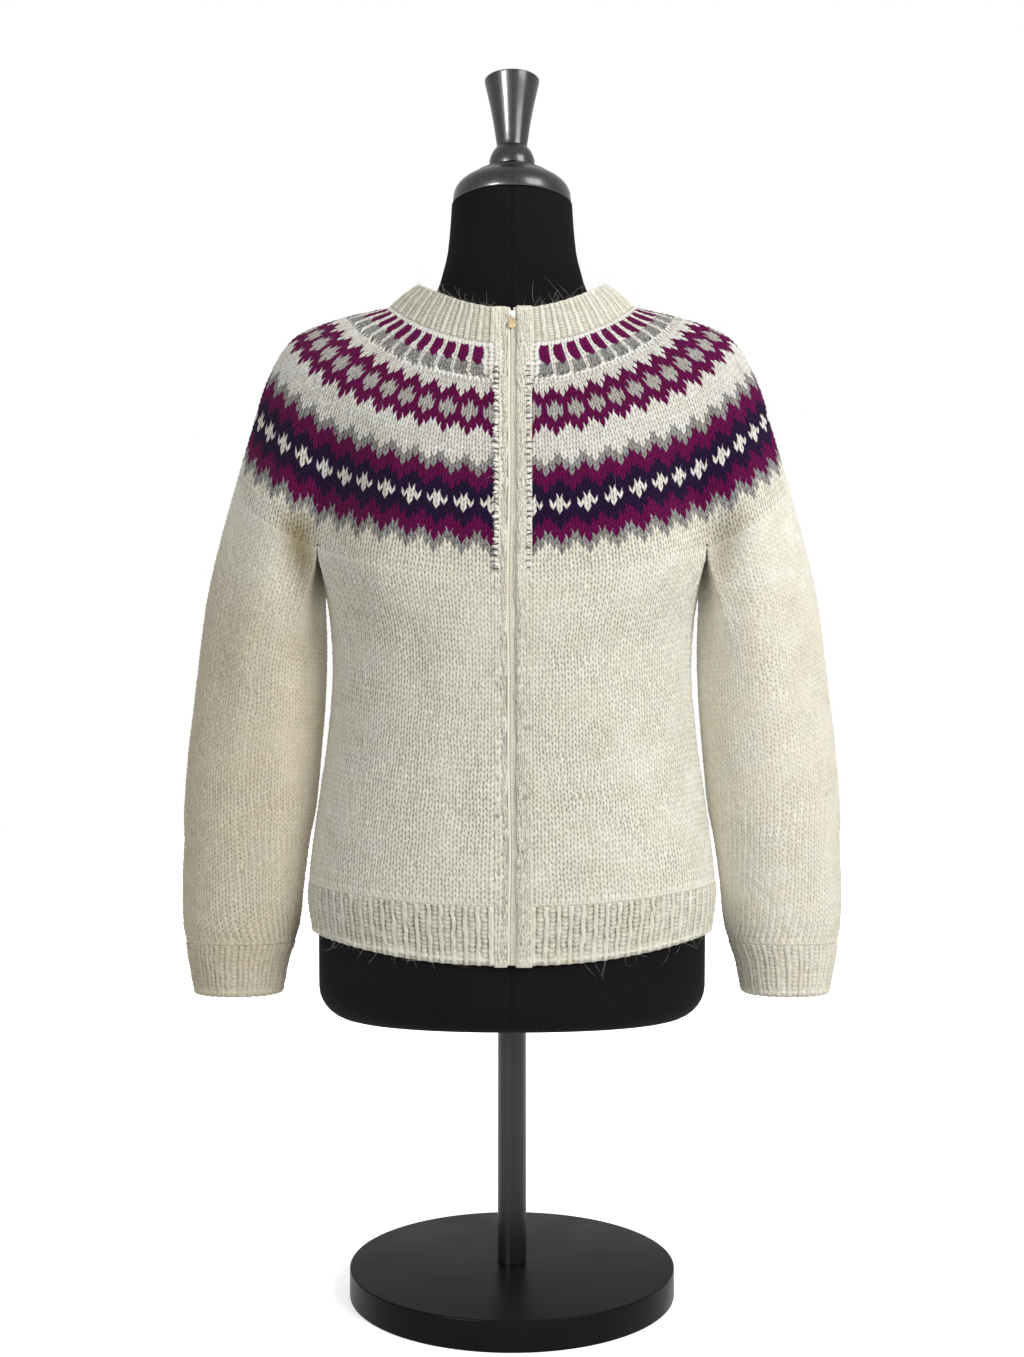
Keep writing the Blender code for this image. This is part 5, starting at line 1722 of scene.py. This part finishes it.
def make_band(side, settings):
    """A knitted strip beside the zip: uneven columns of plain stitches and an edge that rolls in."""
    seed = SEEDS["band_" + side]
    cloth = cloths()["placket"]
    rows = placket_rows()
    knots, reach = BAND_COLUMNS[side]
    inner, outer = reach[0], reach[-1]
    stitches = knots[-1]
    columns = int(stitches * LEG_COLUMNS)
    hand = 1 if side == "right" else -1
    p = stepped(rows, ROW_STEPS)
    u = np.arange(columns + 1)[None, :] / LEG_COLUMNS
    x = hand * np.interp(u if hand > 0 else stitches - u, knots, reach)
    held = ease((outer - np.abs(x)) / (outer - inner) * 1.5)

    def place(shift):
        """The place across of each stitch column: it wanders with the zip, the outer edge stays."""
        return PLACKET + x + (sway(p) + 0.004 * shift) * held

    fade = edge_fade(rows, True, True)
    full = np.ones_like(fade)
    haze = HAZE["band"]
    knit = stockinette(seed, rows, columns, place, full, fade, settings.relief, haze, BAND_LOOSE)
    from_zip = np.abs(knit.column - PLACKET) - inner
    rolled_in = ease(1 - from_zip / BAND_ROLL)
    proud = BAND_PROUD[side]
    lift = knit.lift + proud - (BAND_ROLL_DEEP + proud) * rolled_in
    knit = knit._replace(row=knit.row * (1 + 0.35 / rows), lift=lift)
    yarn, heather = one_colour(settings.cream, rows * ROW_STEPS, columns, BAND_HEATHER)
    made, roots = build_shell("band_knit_" + side, cloth, knit, wool(), True, yarn, heather)
    make_fibres("band_fibres_" + side, roots, seed + 1, "band")
    declare(made, "front_band_" + side, "knit_rib", **strip_sheet(outer - inner + BAND_ROLL))


def make_tape(side, look):
    """Half of the woven tape: flat; beside the chain the left one is drawn up over a cord."""
    cloth = cloths()["placket"]
    hand = 1 if side == "right" else -1
    across = np.array([0, 0.03, 0.06, 0.09, 0.13, 0.19, 0.24, 0.27, 0.31, 0.45, 0.6, 0.8, 1.0])
    if hand < 0:
        across = across[::-1]
    row, share = np.meshgrid(stepped(placket_rows(), 3), across, indexing="ij")
    x = TAPE_INNER + (TAPE_OUTER - TAPE_INNER) * share
    cord = ease((x - CORD[0]) / CORD_SIDE) * ease((CORD[1] - x) / CORD_SIDE) * (hand < 0)
    lift = -TAPE_DEPTH + CORD_LIFT * cord + RIGHT_TAPE_LIFT * (hand > 0)
    column = PLACKET + hand * x + sway(row)
    knit = Knit(row, column, lift, np.stack([x * 1000, row], axis=2), share)
    made, _ = build_shell("tape_" + side, cloth, knit, look, True, wall=TAPE_DEPTH + TAPE_WALL, apart=6)
    declare(made, "zip_tape_" + side, "zip_tape", **strip_sheet(TAPE_OUTER - TAPE_INNER))


def make_chain(look):
    """The meshed coil: round across, with a slanting turn of the wire once a pitch."""
    cloth = cloths()["placket"]
    long = lengths(cloth.points[:, 0])[-1]
    rows = placket_rows()
    first = CHAIN_TOP / long * rows
    turns = int((long - CHAIN_TOP) / COIL_PITCH)
    along = np.arange(turns * 4 + 1) / 4
    across = np.array([-1.0, -0.85, -0.5, -0.15, 0.15, 0.5, 0.85, 1.0])
    turn, t = np.meshgrid(along, across, indexing="ij")
    row = first + turn / turns * (rows - first)
    beat = 0.5 + 0.5 * np.cos(2 * math.pi * (turn + 0.35 * t))
    tooth = np.sqrt(np.clip(1 - t**2, 0, 1)) * (0.35 + 0.65 * beat)
    lift = -TAPE_DEPTH - 0.0001 + (TAPE_DEPTH - CHAIN_FRONT) * tooth
    knit = Knit(row, PLACKET + CHAIN_HALF * t + sway(row), lift, np.stack([t, row], axis=2), tooth)
    made, _ = build_shell("coil", cloth, knit, look, True, wall=CHAIN_WALL, apart=8)
    declare(made, "zip_chain", "zip_teeth")


def leaned(points):
    """From the slider's own frame to its place on the neckband, with the neckband's lean."""
    cloth = cloths()["placket"]
    walked = lengths(cloth.points[:, 0])
    at = np.array([SLIDER_AT])
    place = spread(cloth.points[:, 0], walked, at)[0]
    out = unit(spread(cloth.normals[:, 0], walked, at)[0])
    up = np.array([0, out[2], -out[1]])
    x, y, z = points[..., 0:1], points[..., 1:2], points[..., 2:3]
    return np.array([0, place[1], place[2]]) + x * np.array([1.0, 0, 0]) - y * out + z * up


def plate(half, low, high, power, narrow=0.0, dome=0.0):
    """A flat piece with round edges, from its front's middle over the edge to its back's middle.

    Its outline is a superellipse, narrower at the foot; low and high are its front and back depths.
    """
    turn = full_turn(49)
    share = np.array([0, 0.4, 0.7, 0.86, 0.95, 0.99, 1.0, 1.0, 0.99, 0.93, 0.6, 0])
    deep = np.array([0, 0.0, 0.0, 0.02, 0.12, 0.30, 0.45, 0.65, 0.88, 1.0, 1.0, 1.0])
    x = signed_power(np.cos(turn), 2 / power)
    z = signed_power(np.sin(turn), 2 / power)
    x = x * (1 - narrow * (1 - z) / 2)
    y = low + (high - low) * deep - dome * (1 - share**2) * (deep < 0.5)
    share = share[:, None]
    grid = np.stack([share * half[0] * x, y[:, None] + 0 * x, share * half[1] * z], axis=2)
    return rings_mesh(grid)


def make_slider(look):
    """The slider: a domed front plate, a back plate, the post between them and the bail."""
    front, back = SLIDER_FRONT, SLIDER_BACK
    narrow = SLIDER_NARROW
    body = plate(SLIDER_HALF, front, front + SLIDER_PLATE, SLIDER_POWER, narrow, SLIDER_DOME)
    under = plate(SLIDER_HALF, back, back + SLIDER_PLATE, SLIDER_POWER, narrow)
    middle = SLIDER_PLATE / 2
    post_points, post = plate(POST_HALF, front + middle, back + middle, POST_POWER)
    post_points = post_points + (0, 0, POST_UP)
    a = np.linspace(0, math.pi, 25)
    out = BAIL_REACH * np.sin(a) ** 0.6
    arch = np.stack([0 * a, front + BAIL_SINK - out, BAIL_HALF * np.cos(a) - PIVOT_DOWN], axis=1)
    radii = np.full(len(a), BAIL_WIRE)
    radii[[0, -1]] = 0
    bail = tubes(arch[None], radii[None], 12, np.array([[1.0, 0, 0]]))
    points, triangles = joined(body, under, (post_points, post), bail)
    made, _, _ = add_mesh("slider", leaned(points), triangles, look)
    declare(made, "zip_slider", "zip_enamel")


def make_pull(look):
    """The pull: a flat drop with a window for the bail, its cross section a rounded bar.

    The section runs from the window's edge over the front to the outer edge and back behind it.
    """
    turn = full_turn(65)
    cos, sin = np.cos(turn), np.sin(turn)
    half = (PULL_TOP + PULL_BOTTOM) / 2
    z = half * signed_power(sin, 0.9)
    wide = PULL_HALF * (1 - PULL_NARROW * ease((z / half + 0.5) / 1.5))
    drop = np.stack([wide * signed_power(cos, 0.8), z + PULL_TOP - half], axis=1)
    window = np.stack([WINDOW_HALF[0] * cos, WINDOW_HALF[1] * sin - WINDOW_DOWN], axis=1)
    share = np.array([0, 0.02, 0.10, 0.30, 0.60, 0.84, 0.95, 1.0])
    thick = np.array([0, 0.7, 1.0, 0.85, 0.85, 1.0, 0.75, 0]) * PULL_HALF_THICKNESS
    share = np.concatenate([share, share[-2::-1]])
    y = np.concatenate([-thick, thick[-2::-1]])
    flat = window + share[:, None, None] * (drop - window)
    y = np.broadcast_to(y[:, None], flat.shape[:2]) + SLIDER_FRONT - PIVOT_OUT
    points, triangles = rings_mesh(np.stack([flat[..., 0], y, flat[..., 1] - PIVOT_DOWN], axis=2))
    made, _, _ = add_mesh("pull", leaned(points), triangles, look)
    declare(made, "zip_pull", "zip_brass", "pull")


def make_band_stitches(settings):
    """The cut edges beside the zip, overcast: from the yoke's top to its foot, on both sides, plump
    loops of pale yarn that each run across the edge, and between them thin dark bent strands.

    Each is a tube along a line across the edge that rises and sags by half a sine wave.
    """
    cloth = cloths()["placket"]
    top = lengths(cloths()["neckband"].points[:, 0])[-1] / BAND_ROW
    random = np.random.default_rng(SEEDS["overcast"])
    count = OVERCAST_LOOPS * 2
    hand = np.where(np.arange(count) < OVERCAST_LOOPS, 1, -1)[:, None]
    level = top + OVERCAST_FIRST + (np.arange(count) % OVERCAST_LOOPS)[:, None] * OVERCAST_STEP
    t = np.linspace(0, 1, 8)
    wave = np.sin(math.pi * t)
    colours = yarn_colours(settings)
    shapes, tints = [], []
    for thick, shift, near, far, rise, letters in OVERCAST_YARNS:
        low, high = random.uniform(*near, (count, 1)), random.uniform(*far, (count, 1))
        drop = random.uniform(-0.55, 0.25, (count, 1))
        sag = random.uniform(-0.35, 0.35, (count, 1)) * wave
        down = level + shift + random.uniform(-0.15, 0.15, (count, 1)) + drop * t + sag
        points, normals = on_cloth(cloth, down, PLACKET + hand * (low + (high - low) * t))
        points = points + normals * (rise * wave**0.6 - FIBRE_ROOT)[..., None]
        radii = np.broadcast_to(thick * wave**0.4, down.shape) * random.uniform(0.75, 1.15, (count, 1))
        shapes.append(tubes(points, radii, 6, normals[:, 0]))
        picked = [letters[k] for k in random.integers(0, len(letters), count)]
        colour = np.array([colours[letter][0][:] for letter in picked])
        tints.append(colour.repeat(len(shapes[-1][1]) // count, axis=0))
    made, real, _ = add_mesh("band_stitches", *joined(*shapes), fibre_wool())
    add_values(made.data, "yarn", "FLOAT_VECTOR", "FACE", np.concatenate(tints)[real])
    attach(made, "form")


# ------------------------ the dress form and its stand
def round_grid(radius, height, columns):
    """Rings about Z from a column of radii and one of heights, starting at the front."""
    turn = full_turn(columns)
    return np.stack([radius * np.sin(turn), -radius * np.cos(turn), height + 0 * turn], axis=2)


def turned(name, profile, look, node_name, slot, body, soften=0, columns=97):
    """A profile of (radius, height) turned about Z; soften cuts its corners so many times."""
    line = np.array(profile, float)
    for _ in range(soften):
        cut = np.stack([line[:-1] * 0.75 + line[1:] * 0.25, line[:-1] * 0.25 + line[1:] * 0.75], axis=1)
        line = np.concatenate([line[:1], cut.reshape(-1, 2), line[-1:]])
    made, _, _ = add_mesh(name, *rings_mesh(round_grid(line[:, :1], line[:, 1:], columns)), look)
    made.data.set_sharp_from_angle(angle=math.radians(35))
    declare(made, node_name, slot, body)


def make_torso(look):
    """The torso: superellipses by height, a round bottom edge and the pole's socket."""
    down = np.linspace(TORSO_TOP, TORSO_BOTTOM + TORSO_EDGE, 80)
    bend = np.linspace(0, math.pi / 2, 9)[1:]
    z = np.concatenate([[TORSO_TOP], down, TORSO_BOTTOM + TORSO_EDGE * (1 - np.sin(bend))])
    inset = np.concatenate([[0], 0 * down, TORSO_EDGE * (1 - np.cos(bend))])
    get = {name: smooth(TORSO, name, z) for name in TORSO if name != "z"}
    socket = np.array([SOCKET_RADIUS, SOCKET_RADIUS, 0])
    sizes = [np.concatenate([get[name] - inset, socket]) for name in ("half", "front", "back")]
    for size in sizes:
        size[0] = 0
    power = np.concatenate([get["power"], [2, 2, 2]])
    deep = TORSO_BOTTOM + SOCKET_DEPTH
    z = np.concatenate([z, [TORSO_BOTTOM, deep, deep]])
    turn = full_turn(129)
    x, y = oval(turn[None, :], *(size[:, None] for size in sizes), power[:, None])
    grid = np.stack([np.copysign(x, np.sin(turn)), y, z[:, None] + 0 * turn], axis=2)
    made, _, _ = add_mesh("torso_cover", *rings_mesh(grid), look)
    made.data.set_sharp_from_angle(angle=math.radians(50))
    declare(made, "form_torso", "form_jersey")


def make_cap_and_finial(look):
    """The turned cap, and the finial: a ball cut by a plane, under a cone with a hollow flank."""
    turned("cap", CAP_PROFILE, look, "neck_cap", "form_wood", "form", 2)
    start = math.asin(BALL_NECK / BALL_RADIUS)
    end = math.acos((BALL_BOTTOM - BALL_CENTRE) / BALL_RADIUS)
    a = np.linspace(start, end, 25)
    ball = np.stack([BALL_RADIUS * np.sin(a), BALL_CENTRE + BALL_RADIUS * np.cos(a)], axis=1)
    cone = [
        (0, CONE_TOP),
        (CONE_RADIUS - 3 * CONE_EDGE, CONE_TOP),
        (CONE_RADIUS, CONE_TOP),
        (CONE_RADIUS - CONE_EDGE / 2, CONE_TOP - 3 * CONE_EDGE),
        CONE_WAIST,
        CONE_FOOT,
    ]
    turned("finial_wood", [*cone, *ball, (0, BALL_BOTTOM)], look, "finial", "form_wood", "form", 1)


def make_stand(colour):
    """The pole and the round base, both with a small round edge."""
    (_, _, low), (radius, _, high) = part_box("pole")
    edge = POLE_EDGE
    profile = ((0, high), (radius - edge, high), (radius, high - edge), (radius, low), (0, low))
    turned("pole_tube", profile, coated_metal(colour, POLE_SHINE), "pole", "stand_metal", "stand")
    (_, _, low), (radius, _, high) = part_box("base")
    bend = np.linspace(0, math.pi / 2, 7)
    edge = BASE_EDGE
    top = np.stack([radius - edge + edge * np.sin(bend), high - edge + edge * np.cos(bend)], axis=1)
    foot = np.stack([radius - edge + edge * np.cos(bend), low + edge - edge * np.sin(bend)], axis=1)
    disc = [(0, high), *top, *foot, (0, low)]
    look = coated_metal(colour, BASE_SHINE)
    turned("base_disc", disc, look, "base", "stand_metal", "stand", columns=193)


# ------------------------ operators
class PieceOperator:
    """What the operators share."""

    bl_options = {"REGISTER", "UNDO"}


class SWEATER_OT_yoke(PieceOperator, bpy.types.Operator):
    """Knit the patterned yoke"""

    bl_idname = "sweater.yoke"
    bl_label = "Yoke"

    def execute(self, context):
        make_yoke(context.scene.sweater_wool)
        return {"FINISHED"}


class SWEATER_OT_body(PieceOperator, bpy.types.Operator):
    """Knit the plain body"""

    bl_idname = "sweater.body"
    bl_label = "Body"

    def execute(self, context):
        make_body(context.scene.sweater_wool)
        return {"FINISHED"}


class SWEATER_OT_sleeves(PieceOperator, bpy.types.Operator):
    """Knit both sleeves"""

    bl_idname = "sweater.sleeves"
    bl_label = "Sleeves"

    def execute(self, context):
        make_sleeve("right", context.scene.sweater_wool)
        make_sleeve("left", context.scene.sweater_wool)
        return {"FINISHED"}


class SWEATER_OT_ribs(PieceOperator, bpy.types.Operator):
    """Knit the ribs: neckband, hem and both cuffs"""

    bl_idname = "sweater.ribs"
    bl_label = "Ribs"

    def execute(self, context):
        s = context.scene.sweater_wool
        make_rib("neckband", "neckband", NECK_ROWS, NECK_PAIRS, -1, 0.3, s.cream, s)
        make_rib("hem", "hem_rib", HEM_ROWS, HEM_PAIRS, 1, 1.0, s.cream, s)
        make_rib("cuff_right", "cuff_right", CUFF_ROWS, CUFF_PAIRS, 1, 0.5, s.sleeve_right, s)
        # The left cuff takes the left sleeve's colour, painted shade and all.
        make_rib("cuff_left", "cuff_left", CUFF_ROWS, CUFF_PAIRS, 1, 0.5, s.sleeve_left, s)
        return {"FINISHED"}


class SWEATER_OT_bands(PieceOperator, bpy.types.Operator):
    """Knit the two front bands and the strands beside them"""

    bl_idname = "sweater.bands"
    bl_label = "Front bands"

    def execute(self, context):
        s = context.scene.sweater_wool
        make_band("right", s)
        make_band("left", s)
        make_band_stitches(s)
        return {"FINISHED"}


class SWEATER_OT_zip(PieceOperator, bpy.types.Operator):
    """Sew in the zip: tapes, coil, slider and pull"""

    bl_idname = "sweater.zip"
    bl_label = "Zip"

    def execute(self, context):
        s = context.scene.sweater_zip
        tape = woven_tape(tuple(s.tape))
        make_tape("right", tape)
        make_tape("left", tape)
        make_chain(coil_nylon(tuple(s.teeth)))
        make_slider(enamel(tuple(s.enamel)))
        make_pull(dull_brass(tuple(s.brass)))
        return {"FINISHED"}


class SWEATER_OT_form(PieceOperator, bpy.types.Operator):
    """Make the dress form and its stand"""

    bl_idname = "sweater.form"
    bl_label = "Dress form"

    def execute(self, context):
        s = context.scene.sweater_form
        make_torso(jersey(tuple(s.jersey)))
        make_cap_and_finial(lacquer(tuple(s.lacquer)))
        make_stand(tuple(s.metal))
        return {"FINISHED"}


class SWEATER_OT_stage(PieceOperator, bpy.types.Operator):
    """Set up the pale floor, the lights and the camera"""

    bl_idname = "sweater.stage"
    bl_label = "Stage"

    def execute(self, context):
        s = context.scene.sweater_stage
        make_backdrop(tuple(s.floor))
        make_lights(s)
        make_camera(s)
        return {"FINISHED"}


def make_backdrop(colour):
    """A round floor, and round it a dome that only the camera sees."""
    radius = np.array([0, STAGE_RADIUS])[:, None]
    floor, _, _ = add_mesh("floor", *rings_mesh(round_grid(radius, 0 * radius, 97)), pale_floor(colour))
    rise = np.linspace(math.pi / 2, -0.05, 25)[:, None]
    dome = round_grid(STAGE_RADIUS * np.cos(rise), STAGE_RADIUS * np.sin(rise), 97)
    points, triangles = rings_mesh(dome)
    wall, _, _ = add_mesh("backdrop", points, triangles[:, ::-1], white_backdrop())
    floor.visible_diffuse = False
    wall.visible_diffuse = False
    wall.visible_glossy = False
    wall.visible_shadow = False


def make_lights(s):
    """Even light all round, a big soft lamp on the right and a small one on the left for gloss."""
    world = bpy.data.worlds.new("studio")
    bpy.context.scene.world = world
    world.use_nodes = True
    shade = world.node_tree.nodes["Background"]
    shade.inputs["Color"].default_value = WHITE
    shade.inputs["Strength"].default_value = s.sky
    powers = {"key_light": s.key, "side_light": s.side}
    for name, (place, aim, size, only_gloss) in LIGHTS.items():
        data = bpy.data.lights.new(name, "AREA")
        data.size, data.energy = size, powers[name]
        light = bpy.data.objects.new(name, data)
        bpy.context.scene.collection.objects.link(light)
        light.location = place
        light.visible_diffuse = not only_gloss
        away = Vector(place) - Vector(aim)
        light.rotation_euler = away.to_track_quat("Z", "Y").to_euler()


def make_camera(s):
    """A level camera straight in front of the form."""
    data = bpy.data.cameras.new("camera")
    data.lens, data.sensor_width, data.shift_y = s.lens, SENSOR, s.shift
    camera = bpy.data.objects.new("camera", data)
    bpy.context.scene.collection.objects.link(camera)
    camera.location = (0, -s.distance, s.height)
    camera.rotation_euler = (math.pi / 2, 0, 0)
    bpy.context.scene.camera = camera
    bpy.context.scene.view_settings.view_transform = "Standard"


# ------------------------ registration and the run
SETTINGS = {
    "sweater_wool": SweaterWool,
    "sweater_zip": SweaterZip,
    "sweater_form": SweaterForm,
    "sweater_stage": SweaterStage,
}
OPERATORS = (
    SWEATER_OT_form,
    SWEATER_OT_ribs,
    SWEATER_OT_yoke,
    SWEATER_OT_body,
    SWEATER_OT_sleeves,
    SWEATER_OT_bands,
    SWEATER_OT_zip,
    SWEATER_OT_stage,
)


class SWEATER_PT_pieces(bpy.types.Panel):
    """Lists the pieces and their settings"""

    bl_label = "Yoke sweater"
    bl_space_type = "VIEW_3D"
    bl_region_type = "UI"
    bl_category = "Sweater"

    def draw(self, context):
        for operator in OPERATORS:
            self.layout.operator(operator.bl_idname)
        for name in SETTINGS:
            group = getattr(context.scene, name)
            box = self.layout.box()
            for key in group.bl_rna.properties.keys():
                if key not in ("rna_type", "name"):
                    box.prop(group, key)


def register():
    """Makes the settings, the operators and the panel known to Blender."""
    for kind in (*SETTINGS.values(), *OPERATORS, SWEATER_PT_pieces):
        bpy.utils.register_class(kind)
    for name, kind in SETTINGS.items():
        setattr(bpy.types.Scene, name, bpy.props.PointerProperty(type=kind))


def unregister():
    """Takes them all back."""
    for name in SETTINGS:
        delattr(bpy.types.Scene, name)
    for kind in reversed((*SETTINGS.values(), *OPERATORS, SWEATER_PT_pieces)):
        bpy.utils.unregister_class(kind)


def run_all():
    """Makes every piece in order."""
    register()
    for operator in OPERATORS:
        group, name = operator.bl_idname.split(".")
        getattr(getattr(bpy.ops, group), name)()


if __name__ == "__main__":
    run_all()
